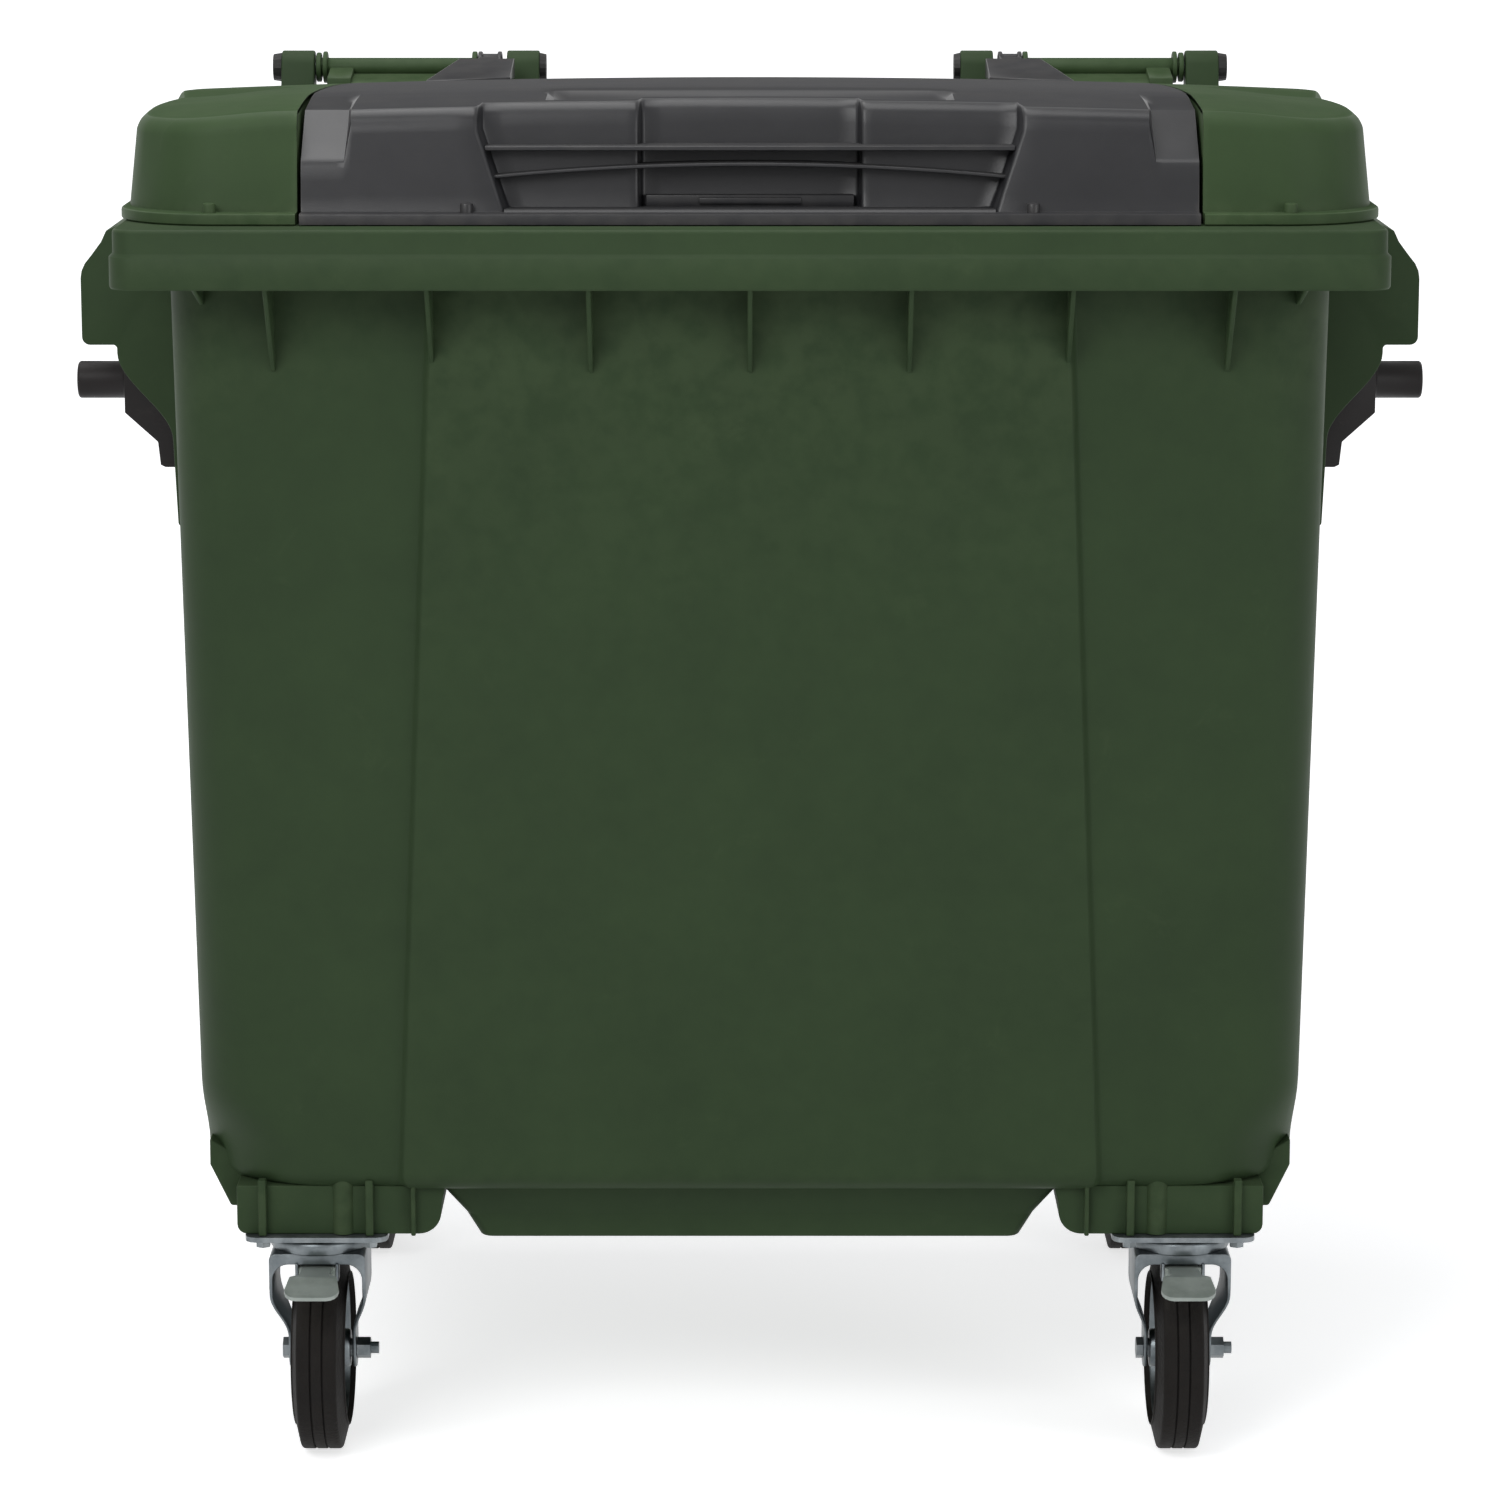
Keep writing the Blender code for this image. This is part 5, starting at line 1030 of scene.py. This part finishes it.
def ledge_bumps(x):
    """Round stops on the ledge, with a soft top edge."""
    top = FLANGE_HIGH + BUMP_HEIGHT
    profile = [
        (POLE, FLANGE_HIGH - EDGE), (BUMP_RADIUS, FLANGE_HIGH - EDGE), (BUMP_RADIUS, top - EDGE * 1.5),
        (BUMP_RADIUS - EDGE * 0.4, top - EDGE * 0.5), (BUMP_RADIUS - EDGE * 1.5, top), (POLE, top),
    ]
    return [spun(profile, (hand * x, -BUMP_Y, 0), "z", 32, closed=False) for hand in (1, -1)]


def hinge_ring(hand, low, high, radius, rounding=DISC_ROUND):
    """Round collar on the hinge line, between two places along X."""
    half = [(PIN_BORE, low), (radius - rounding, low)]
    half += [(radius - rounding * 0.3, low + rounding * 0.3), (radius, low + rounding)]
    profile = half + [(across, low + high - along) for across, along in reversed(half)]
    return spun(profile, (0, HINGE_Y, HINGE_Z), closed=False, hand=hand)


def large_lid_hinges():
    """Hinge tubes, collars and webs of the large lid."""
    made = []
    start, end = OUTER_DISC
    sections = (
        (*OUTER_TUBE, TUBE_RADIUS),
        (start, start + DISC_WIDTH, DISC_RADIUS),
        (start + DISC_GAP, end - DISC_ROUND, DISC_RADIUS - EDGE),
        (*MIDDLE_DISC, DISC_RADIUS),
        (start, end, TUBE_RADIUS),
    )
    low_y = LID_REAR - LID_WALL
    strip = crest(OUTER_TUBE[0], low_y)
    webs = (
        (OUTER_TUBE[0] + EDGE * 6, TUBE_RADIUS * -0.5, LID_WALL * -0.6),
        (OUTER_TUBE[1] - WEB_STEP, TUBE_RADIUS * 0.2, LID_WALL * 0.8),
    )
    for hand in (1, -1):
        made += [hinge_ring(hand, *section) for section in sections]
        for near, hinge_rise, strip_rise in webs:
            web = [
                (low_y, strip - LID_WALL * 6), (HINGE_Y, HINGE_Z - TUBE_RADIUS * 0.9),
                (HINGE_Y, HINGE_Z + hinge_rise), (low_y, strip + strip_rise),
            ]
            web = prism(web, "yz", hand * near, hand * (OUTER_TUBE[1] - EDGE * 3))
            made.append(round_edges(web, EDGE, 2))
    return made


def large_lid():
    """The green lid with its window."""
    low = (-WINDOW_HALF_X - EDGE, -BAR_FRONT, BAR_LOW)
    bar = slab(low, (WINDOW_HALF_X + EDGE, -BAR_REAR, BAR_HIGH))
    pieces = [large_lid_shell(), large_lid_flange(), *window_walls(), *large_lid_hinges()]
    return merged("large_lid", [*pieces, *ledge_bumps(GREEN_BUMP_X), round_edges(bar, EDGE, 2)])


def face_y(z):
    """Y of the small lid's leaning front at a height."""
    return -LID_FRONT - EDGE + (z - FLANGE_HIGH) * LID_LEAN / (CREST_Z - FLANGE_HIGH - FRONT_EDGE)


def relief_columns():
    """Columns across the small lid: low x, high x, depth of the front there and kind."""
    half, side, middle = INNER_LID_HALF_X, GRIP_SIDE_DEPTH, GRIP_MIDDLE_DEPTH
    outer = [half, half - EDGE] + [between(half, NOTCH_IN, step / 6) for step in range(1, 6)]
    columns = [(x, x, 0, "notch") for x in outer]
    notch_side = ((0.0012, -0.0020, "notch"), (-0.0008, -0.0072, "face"), (-0.0024, -0.0092, "face"))
    columns += [(NOTCH_IN + low, NOTCH_IN + high, 0, kind) for low, high, kind in notch_side]
    for share in (step / 8 for step in range(1, 8)):
        low = between(NOTCH_IN, GRIP_LOW_HALF + GRIP_MARGIN, share)
        high = between(NOTCH_IN - NOTCH_LEAN, GRIP_TOP_HALF + GRIP_MARGIN, share)
        columns.append((low, high, 0, "face"))
    grip_side = (
        (0.0048, 0), (0.0026, 0.0005), (0.0012, 0.0016), (0.0004, 0.0034), (0, 0.0056),
        (-0.0012, side * 0.5), (-0.0024, side * 0.84), (-0.0036, side * 0.95), (-0.0058, side),
    )
    for out, depth in grip_side:
        kind = "face" if out > 0.002 else "pocket"
        columns.append((GRIP_LOW_HALF + out, GRIP_TOP_HALF + out, depth, kind))
    for high in GRIP_COLUMNS:
        low = between(GRIP_MIDDLE_HALF, high, GRIP_LOW_SHARE)
        columns.append((low, high, side, "pocket"))
    steps = (
        (0.0066, side), (0.0044, side + 0.0005), (0.0030, side + 0.0016), (0.0022, side + 0.0034),
        (0.0012, (side + middle) / 2), (0.0002, middle - 0.0034), (-0.0008, middle - 0.0014),
        (-0.0032, middle),
    )
    centre = [(GRIP_MIDDLE_HALF + out, depth) for out, depth in steps]
    centre += [(between(centre[-1][0], 0, step / 6), middle) for step in range(1, 7)]
    return columns + [(x, x, depth, "middle") for x, depth in centre]


def channel_lines(x, start_y):
    """Front edge, break and rear edge along Y of the long channel on the top, and its depth."""
    bow = max(0, 1 - (x / CHANNEL_HALF) ** 2)
    front = max(CHANNEL_FRONT_Y + CHANNEL_BOW * bow, start_y + LID_WALL)
    ridge = max(CHANNEL_RIDGE_Y + CHANNEL_BOW * bow / 5, front + LID_WALL * 2)
    rear = CHANNEL_REAR_Y - CHANNEL_BOW * bow / 4
    run_out = LID_WALL * 1.5
    return front, ridge, rear, CHANNEL_DEPTH * ease(CHANNEL_HALF + run_out - abs(x), 0, run_out)


def foot_rows(base_y, floor):
    """Flange of the small lid, down into the grip where the floor is low, as y and z."""
    return [
        (-FLANGE_FRONT, FLANGE_LOW + EDGE / 2), (-FLANGE_FRONT, FLANGE_HIGH - EDGE * 1.6),
        (-FLANGE_FRONT + EDGE * 0.5, FLANGE_HIGH - EDGE * 0.4), (-FLANGE_FRONT + EDGE * 1.7, FLANGE_HIGH),
        (-LID_FRONT - EDGE * 3.4, FLANGE_HIGH), (-LID_FRONT - EDGE * 2.6, (FLANGE_HIGH + floor) / 2),
        (-LID_FRONT - EDGE * 2.0, floor), (base_y - EDGE * 0.9, floor),
        (base_y - EDGE * 0.25, floor + EDGE * 0.3), (base_y + EDGE * 0.1, floor + EDGE),
    ]


def notch_rows(floor):
    """Front of the small lid in its notch: up the face, round the edge and up two slopes."""
    corner_y = face_y(NOTCH_LOW)
    break_y = corner_y + NOTCH_DEPTH
    heights = [between(floor, NOTCH_LOW, share) for share in (0.3, 0.6, 0.85)]
    rows = [(face_y(z), z) for z in heights]
    rows += [(corner_y + back, NOTCH_LOW + lift) for back, lift in NOTCH_ROUND]
    near_y, near_z = rows[-1]
    for share in (0.5, 1.0):
        rows.append((between(near_y, break_y, share), between(near_z, NOTCH_BREAK_Z, share)))
    for share in (0.3, 0.6, 0.85, 1.0):
        rows.append((break_y + NOTCH_UPPER * share, between(NOTCH_BREAK_Z, NOTCH_TOP_Z, share)))
    return rows


def face_rows(x, depth, floor):
    """Front of the small lid beside its notches: up the face and round the top edge."""
    edge_y = face_y(CREST_Z - FRONT_EDGE) + depth
    low = crest(x, edge_y + FRONT_EDGE) - FRONT_EDGE
    heights = [between(floor, low, share) for share in (0.2, 0.45, 0.7, 0.9, 1.0)]
    rows = [(face_y(z) + depth, z) for z in heights]
    for across, up in quarter(8, 18, 28, 38, 48, 58, 68, 79, 90):
        rows.append((edge_y + FRONT_EDGE * across, low + FRONT_EDGE * up))
    return rows


def small_lid_column(x_low, x_high, depth, kind):
    """Front-to-rear profile of the small lid at one column."""
    floor = GRIP_LOW if kind in ("pocket", "middle") and depth > LID_WALL else FLANGE_HIGH
    front_rows = foot_rows(face_y(FLANGE_HIGH) + depth, floor)
    front_rows += notch_rows(floor) if kind == "notch" else face_rows(x_high, depth, floor)
    rows = []
    for y, z in front_rows:
        share = min(max((z - GRIP_LOW) / (GRIP_TOP - GRIP_LOW), 0), 1)
        rows.append((between(x_low, x_high, share), y, z))
    start_y = front_rows[-1][0]
    settled = crest(x_high, start_y) - NOTCH_TOP_Z if kind == "notch" else 0
    front, ridge, rear, sunk = channel_lines(x_high, start_y)
    tops = [
        ((start_y + front) / 2, 0), (front - EDGE, 0), (front, EDGE / 8 if sunk else 0),
        (front + EDGE * 1.5, sunk * 0.9), (front + EDGE * 2.5, sunk),
        (between(front, ridge, 0.6), sunk * 0.86), (ridge, sunk * 0.62),
        ((ridge + rear) / 2, sunk * 0.34), (rear - EDGE, sunk * 0.04), (rear, 0),
    ]
    first = max(rear, TOP_ROWS_Y)
    tops += [(between(first, INNER_LID_REAR, (step + 0.3) / 17.3), 0) for step in range(18)]
    for y, drop in tops:
        rows.append((x_high, y, crest(x_high, y) - drop - settled * (1 - ease(y, start_y, NOTCH_END_Y))))
    for drop in (EDGE, REAR_SHOULDER * 2):
        rows.append((x_high, INNER_LID_REAR + EDGE * 0.3, crest(x_high, INNER_LID_REAR) - drop))
    return rows


def small_lid_shell():
    """Moulded shell of the small lid with its grip recess, notches and channel."""
    rows = [small_lid_column(*column) for column in relief_columns()]
    skirt = []
    for x, y, z in rows[0]:
        drop = SKIRT_DROP if y > -LID_FRONT else 0
        skirt.append((x, y, max(z - drop, FLANGE_LOW + EDGE / 2)))
    rows = [skirt] + rows
    rows += [[(-x, y, z) for x, y, z in row] for row in rows[-2::-1]]
    shell = loft(rows, caps=(), wrap=False)
    if sum(face.normal.z * face.area for face in shell.data.polygons) < 0:
        shell.data.flip_normals()
    return thicken(shell, SMALL_LID_WALL, 34)


def grip_half(z):
    """Half width of the grip at a height."""
    return between(GRIP_LOW_HALF, GRIP_TOP_HALF, (z - GRIP_LOW) / (GRIP_TOP - GRIP_LOW))


def grip_rails():
    """Straight rail and bowed rail across the grip, and the step at its foot with its pad."""
    back = face_y(GRIP_RAIL_Z) + GRIP_MIDDLE_DEPTH + LID_WALL / 2
    reach, half = grip_half(GRIP_RAIL_Z), GRIP_RAIL_THICK / 2
    rail = slab((-reach, -GRIP_FRONT, GRIP_RAIL_Z - half), (reach, back, GRIP_RAIL_Z + half))
    reach = grip_half(GRIP_BOW_END_Z)
    along = [step / 20 - 1 for step in range(41)]
    top = [(share * reach, GRIP_BOW_END_Z + GRIP_BOW_RISE * (1 - share * share)) for share in along]
    outline = top + [(x, z - GRIP_BOW_THICK) for x, z in reversed(top)]
    bow = round_edges(prism(outline, "xz", -GRIP_FRONT, back), EDGE * 0.8, 2, 60)
    foot_y = face_y(GRIP_LOW) + GRIP_MIDDLE_DEPTH
    front_y = foot_y - STEP_REACH
    wide = GRIP_MIDDLE_HALF - LID_WALL
    step = slab((-wide, front_y, GRIP_LOW - EDGE), (wide, foot_y + LID_WALL, GRIP_LOW + STEP_RISE))
    low = (-STEP_SLOT_HALF, front_y - EDGE * 2.5, GRIP_LOW + STEP_RISE * 0.2)
    pad = slab(low, (STEP_SLOT_HALF, front_y + EDGE * 2, GRIP_LOW + STEP_RISE * 0.8))
    return [bow, *(round_edges(piece, EDGE, 3) for piece in (rail, step, pad))]


def arm(hand):
    """Arm over the rear strip, with a pointed gusset, as the hull of its corners."""
    corners = [
        (ARM_TIP_X, ARM_TIP_Y, 0), (ARM_TIP_X - EDGE, ARM_TIP_Y + EDGE * 2, EDGE * 2),
        (ARM_IN, ARM_TIP_Y + ARM_TAPER, 0), (ARM_IN, ARM_TIP_Y + ARM_TAPER, EDGE * 3),
        (ARM_OUT, INNER_LID_REAR, 0), (ARM_OUT, INNER_LID_REAR, ARM_RISE * 0.45),
        (ARM_IN, INNER_LID_REAR, ARM_RISE * 0.45),
    ]
    points = [(hand * x, y, crest(x, y) - EDGE + lift) for x, y, lift in corners]
    for x in (ARM_IN, ARM_OUT):
        points.append((hand * x, ARM_REAR_Y, crest(x, ARM_REAR_Y) + EDGE * 1.5))
        points += [(hand * x, ARM_REAR_Y - EDGE * 4, ARM_TOP_Z - EDGE), (hand * x, ARM_REAR_Y, ARM_TOP_Z)]
    bm = bmesh.new()
    for point in points:
        bm.verts.new(point)
    found = bmesh.ops.convex_hull(bm, input=bm.verts)
    spare = [item for item in found["geom_interior"] if isinstance(item, bmesh.types.BMVert)]
    bmesh.ops.delete(bm, geom=spare, context="VERTS")
    bmesh.ops.dissolve_limit(bm, angle_limit=math.radians(3), verts=bm.verts, edges=bm.edges)
    return round_edges(as_object(bm, SHARP_SKIN), EDGE, 2, 25)


def small_lid_arms():
    """Arms that rise over the rear strip to the ringed hinge barrels, each with a web."""
    made = []
    low, high = INNER_BARREL
    web_y = ARM_REAR_Y - EDGE * 3
    outline = [
        (web_y, crest(low, ARM_REAR_Y) + EDGE * 2), (HINGE_Y, HINGE_Z - TUBE_RADIUS * 0.8),
        (HINGE_Y, HINGE_Z + BARREL_RADIUS * 0.8), (web_y, ARM_TOP_Z - EDGE / 2),
    ]
    for hand in (1, -1):
        web = prism(outline, "yz", hand * (low + EDGE), hand * (high - EDGE))
        made += [arm(hand), round_edges(web, EDGE, 2), hinge_ring(hand, low, high, BARREL_RADIUS)]
        for near in (low, high - RING_WIDTH):
            made.append(hinge_ring(hand, near, near + RING_WIDTH, DISC_RADIUS, EDGE))
    return made


def small_lid():
    """The dark lid that lies in the window of the green one."""
    pieces = [small_lid_shell(), *grip_rails(), *small_lid_arms(), *ledge_bumps(GREY_BUMP_X)]
    return merged("small_lid", pieces)


# Trunnions and casters
def trunnion(hand):
    """Lifting pin on its welded bracket, with eased edges."""
    height, radius, tip = TRUNNION_HEIGHT, TRUNNION_RADIUS, TRUNNION_TIP
    top, bottom = height + BRACKET_UP, height - BRACKET_DOWN
    seat = max(side_wall(bottom), side_wall(top)) + EDGE / 2
    outline = [(seat, top), (TRUNNION_ROOT, top)]
    outline += arc((TRUNNION_ROOT, height + radius), BRACKET_UP - radius, 80, 10, 5)
    outline += [
        (BRACKET_NOSE - EDGE, height + radius - EDGE), (BRACKET_NOSE, height + radius - EDGE * 2),
        (BRACKET_NOSE, height - BRACKET_UP), (BRACKET_TOE + EDGE * 2, height - BRACKET_UP * 2),
        (BRACKET_TOE, bottom + EDGE * 2), (BRACKET_TOE - EDGE * 4, bottom), (seat, bottom),
    ]
    bracket = prism(handed(outline, hand), "xz", -BRACKET_HALF_Y, BRACKET_HALF_Y)
    profile = [
        (radius + WELD_SIZE, BRACKET_NOSE - EDGE), (radius + WELD_SIZE * 0.8, BRACKET_NOSE + EDGE),
        (radius + WELD_SIZE * 0.25, BRACKET_NOSE + WELD_SIZE * 0.7), (radius, BRACKET_NOSE + WELD_SIZE),
        (radius, tip - PIN_ROUND),
    ]
    for across, up in quarter(15, 35, 55, 75, 90):
        profile.append((radius - PIN_ROUND * across, tip - PIN_ROUND * (1 - up)))
    profile += [(EDGE, tip), (EDGE, TRUNNION_ROOT), (radius, TRUNNION_ROOT)]
    pin = spun(profile, (0, 0, height), hand=hand)
    return merged(f"trunnion_{hand}", [round_edges(bracket, EDGE * 1.5, 3, 25), pin])


def tyre(place, x, y):
    """Solid rubber tyre with two tread grooves and rounded shoulders."""
    tread = WHEEL_RADIUS
    step_radius = tread - TYRE_STEP
    half = [
        (TYRE_INNER_RADIUS, TYRE_SEAT), (TYRE_INNER_RADIUS + EDGE / 2, TYRE_HALF_X - EDGE),
        (step_radius - EDGE * 1.5, TYRE_HALF_X), (step_radius - EDGE / 2, TYRE_HALF_X - EDGE / 4),
    ]
    shoulder, flank = tread - TYRE_SHOULDER, TREAD_HALF_X + TYRE_SHOULDER / 3
    for share in (0, 0.08, 0.5, 1):
        half.append((between(step_radius, shoulder, share), between(TYRE_HALF_X - STEP_IN, flank, share)))
    for across, up in quarter(30, 60, 90):
        half.append((shoulder + TYRE_SHOULDER * up, flank - TYRE_SHOULDER * across))
    groove = both_sides([(tread, 1.6), (tread - EDGE * 0.3, 1), (tread - GROOVE_DEPTH, 0.6)])
    profile = list(half)
    for centre in (GROOVE_X, -GROOVE_X):
        profile += [(radius, centre + GROOVE_HALF * share) for radius, share in groove]
    profile += [(radius, -across) for radius, across in reversed(half)]
    return merged(f"tyre_dressed_{place}", [spun(profile, (x, y + TRAIL, WHEEL_RADIUS), "x", TYRE_ROUND)])


def wheel_centre(place, x, y):
    """Pressed wheel centre with a rolled rim, dished web and boss."""
    edge = TYRE_INNER_RADIUS - EDGE / 4
    half = [
        (edge, 0.0), (edge, 0.0208), (edge - EDGE * 0.6, 0.0215), (edge - EDGE * 2, 0.0212),
        (edge - EDGE * 3, 0.0195), (edge - EDGE * 5, 0.0075), (edge - EDGE * 7, 0.0042),
        (edge - EDGE * 11, 0.0028), (0.0300, 0.0028), (0.0235, 0.0040), (0.0195, 0.0075),
        (0.0190, 0.0120), (0.0190, 0.0255), (0.0180, 0.0269), (0.0160, 0.0270), (0.0098, 0.0270),
    ]
    profile = half[:1] + both_sides(half[1:])
    return merged(f"wheel_centre_{place}", [spun(profile, (x, y + TRAIL, WHEEL_RADIUS), "x", TYRE_ROUND)])


def fork_line(half_top, half_low):
    """One leg's line from the axle up its bend, as x and z."""
    bend = s_curve((half_low, FORK_BEND_LOW), (half_top, FORK_BEND_TOP), 12)
    return [(half_low, WHEEL_RADIUS - FORK_EYE_RADIUS)] + bend


def fork_legs(x, y):
    """Pressed legs, bent as seen from the front and cut to their outline from the side."""
    top = RING_LOW + EDGE
    turn = FORK_THICK * 2
    inner_half = FORK_HALF_X - FORK_THICK
    outer = fork_line(FORK_HALF_X, FORK_LOW_HALF_X)
    outer += arc((FORK_HALF_X - turn, top - turn), turn, 0, 90, 6)
    inner = fork_line(inner_half, FORK_LOW_HALF_X - FORK_THICK)
    inner += arc((inner_half - FORK_CORNER, FORK_CROWN - FORK_CORNER), FORK_CORNER, 0, 90, 10)
    line = handed(outer, -1) + outer[::-1] + inner + handed(inner[::-1], -1)
    legs = prism([(x + u, z) for u, z in line], "xz", y - RING_RADIUS, y + RING_RADIUS)
    eye, half = FORK_EYE_RADIUS, FORK_TOP_HALF_Y
    side = arc((TRAIL, WHEEL_RADIUS), eye, 180, 360, 16)
    side += s_curve((TRAIL + eye, WHEEL_RADIUS + eye / 3), (half, FORK_BEND_TOP), 8)
    side += [(half, top + EDGE), (-half, top + EDGE)]
    side += s_curve((-half, FORK_BEND_TOP + eye / 2), (TRAIL - eye, WHEEL_RADIUS + eye / 2), 8)
    limit = prism([(y + v, z) for v, z in side], "yz", x - RING_RADIUS, x + RING_RADIUS)
    return round_edges(carve(legs, [limit], "INTERSECT"), EDGE * 0.6, 2, 50)


def swivel_fork(place, x, y, braked):
    """Fork with its bearing ring and, where it is braked, ears for the pedal."""
    wide, low, top = RING_RADIUS, RING_LOW, RING_TOP
    cup = wide - RING_WALL
    profile = [
        (EDGE * 5, low), (wide - EDGE * 3, low), (wide - EDGE, low + EDGE * 0.6), (wide, low + EDGE * 2),
        (wide, top - EDGE * 3), (wide - EDGE, top - EDGE), (wide - EDGE * 2.5, top - EDGE * 0.3),
        (cup + EDGE, top), (cup, top - EDGE), (cup, low + EDGE * 4), (EDGE * 5, low + EDGE * 4),
    ]
    made = [fork_legs(x, y), spun(profile, (x, y, 0), "z")]
    for sign in (-1, 1) if braked else ():
        low = (x + sign * EAR_IN, y - PEDAL_PIVOT_Y - EAR_HALF_Y, EAR_LOW)
        high = (x + sign * (EAR_IN + EAR_THICK), y - PEDAL_PIVOT_Y + EAR_HALF_Y, FORK_CROWN + EDGE)
        made.append(round_edges(slab(low, high), EDGE * 0.8, 2))
    return merged(f"fork_dressed_{place}", made)


# Dressing
def dress(piece, body, slot, *nodes):
    """Gives a piece the material of its finish slot and its body, and hides the nodes that it stands for.
    """
    piece.data.materials.clear()
    piece.data.materials.append(MATERIALS[slot])
    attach(piece, body)
    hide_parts(*nodes)


SLOT_NODES = {
    "black_plastic": ("hinge_cap",),
    "pressed_steel": ("brake_pedal",),
    "zinc_plated_steel": (
        "hinge_pin", "plate_bolt", "top_plate", "axle_bolt", "axle_nut", "axle_sleeve", "brake_pin",
    ),
}
for slot_name, starts in SLOT_NODES.items():
    for name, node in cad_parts.items():
        if name.startswith(starts):
            add_bevel(node, EDGE / 2, 2, 28)
            node.data.materials.clear()
            node.data.materials.append(MATERIALS[slot_name])
            shade(node.data, 35)

tub = merged("tub_dressed", [tub_shell(), rim(), ribs(), hoods(), feet(), trough(), towers()])
dress(tub, "tub_body", "green_plastic", "tub")
dress(large_lid(), "outer_lid_body", "green_lid_plastic", "outer_lid")
dress(small_lid(), "inner_lid_body", "dark_grey_plastic", "inner_lid")
hands = ((1, "right"), (-1, "left"))
for hand, word in hands:
    dress(trunnion(hand), "tub_body", "black_painted_steel", f"trunnion_{word}")
for end, end_word in ((-1, "front"), (1, "rear")):
    for hand, word in hands:
        place = f"{end_word}_{word}"
        spot = (place, hand * CASTER_X, CASTER_MIDDLE_Y + end * CASTER_HALF_PITCH)
        dress(tyre(*spot), f"wheel_{place}_body", "black_rubber", f"tyre_{place}")
        dress(wheel_centre(*spot), f"wheel_{place}_body", "zinc_plated_steel", f"wheel_hub_{place}")
        fork = swivel_fork(*spot, end < 0)
        dress(fork, f"swivel_{place}_body", "zinc_plated_steel", f"swivel_fork_{place}")


# Studio
def place_camera():
    data = bpy.data.cameras.new("camera")
    data.lens = CAMERA_LENS
    data.sensor_width = 36
    data.clip_end = 200
    camera = bpy.data.objects.new("camera", data)
    camera.location = CAMERA_PLACE
    camera.rotation_euler = (math.radians(90 - CAMERA_DIP), 0, 0)
    bpy.context.scene.collection.objects.link(camera)
    bpy.context.scene.camera = camera


def soft_box(name, place, target, size, power):
    """Rectangular light that faces its target."""
    data = bpy.data.lights.new(name, "AREA")
    data.shape = "RECTANGLE"
    data.size, data.size_y = size
    data.energy = power
    light = bpy.data.objects.new(name, data)
    light.location = place
    light.rotation_euler = (Vector(target) - Vector(place)).to_track_quat("-Z", "Y").to_euler()
    bpy.context.scene.collection.objects.link(light)


def rays_that_see_white(tree):
    """1 for the camera's rays and those off metal or through glass, which see a white studio."""
    path = add_node(tree, "LightPath")
    shown = maths(tree, "ADD", path["Is Camera Ray"], path["Is Glossy Ray"])
    return maths(tree, "ADD", shown, path["Is Transmission Ray"], use_clamp=True)


def studio_floor():
    """Pale floor that takes shadows and fades to white away from the container."""
    floor = slab((-FLOOR_REACH, -FLOOR_REACH, -FLOOR_THICK), (FLOOR_REACH, FLOOR_REACH, 0))
    material = bpy.data.materials.new("pale_floor")
    material.use_nodes = True
    tree = material.node_tree
    shader = tree.nodes["Principled BSDF"]
    join(tree, shader, {"Base Color": FLOOR_TONE, "Roughness": 0.9})
    place = add_node(tree, "NewGeometry")["Position"]
    away = add_node(tree, "VectorMath", {0: place}, operation="LENGTH")
    white = spread(tree, away, *FLOOR_FADE, FLOOR_NEAR, 1.0)
    seen = maths(tree, "MULTIPLY", rays_that_see_white(tree), white)
    black = add_node(tree, "Emission", {"Color": (0, 0, 0, 1), "Strength": 0.0})
    glow = add_node(tree, "Emission", {"Color": WHITE, "Strength": 1.0})
    pick = add_node(tree, "MixShader", {"Fac": seen, 1: black, 2: glow})
    both = add_node(tree, "AddShader", {0: shader.outputs["BSDF"], 1: pick})
    join(tree, tree.nodes["Material Output"], {"Surface": both})
    floor = merged("studio_floor", [floor])
    floor.data.materials.append(material)


def studio_world():
    """Soft light from all round, seen as white."""
    world = bpy.data.worlds.new("studio")
    bpy.context.scene.world = world
    world.use_nodes = True
    tree = world.node_tree
    back = tree.nodes["Background"]
    join(tree, back, {"Color": WORLD_TONE, "Strength": WORLD_LIGHT})
    white = add_node(tree, "Background", {"Color": WHITE, "Strength": 1.0})
    ends = {"Fac": rays_that_see_white(tree), 1: back.outputs["Background"], 2: white}
    join(tree, tree.nodes["World Output"], {"Surface": add_node(tree, "MixShader", ends)})


CAMERA_LENS = 122.4
CAMERA_PLACE = (0, -5.2119, 1.6474)
CAMERA_DIP = 10.88
WHITE = (1, 1, 1, 1)
WORLD_TONE = (0.9, 0.93, 1, 1)
WORLD_LIGHT = 0.26
FLOOR_TONE = (0.8, 0.8, 0.8, 1)
FLOOR_REACH = 60
FLOOR_THICK = 0.02
FLOOR_NEAR = 0.7
FLOOR_FADE = (1.0, 3.0)
KEY_POWER = 118
FILL_POWER = 51
TOP_POWER = 74

place_camera()
studio_world()
studio_floor()
soft_box("key_left", (-2.1, -4.0, 3.5), (0, 0, 0.8), (2.6, 2.2), KEY_POWER)
soft_box("fill_right", (3.6, -3.6, 1.8), (0, 0, 0.7), (2.2, 2.2), FILL_POWER)
soft_box("overhead", (-0.3, -0.55, 3.9), (0, -0.4, 1.2), (3.6, 1.5), TOP_POWER)
bpy.context.scene.view_settings.view_transform = "Standard"
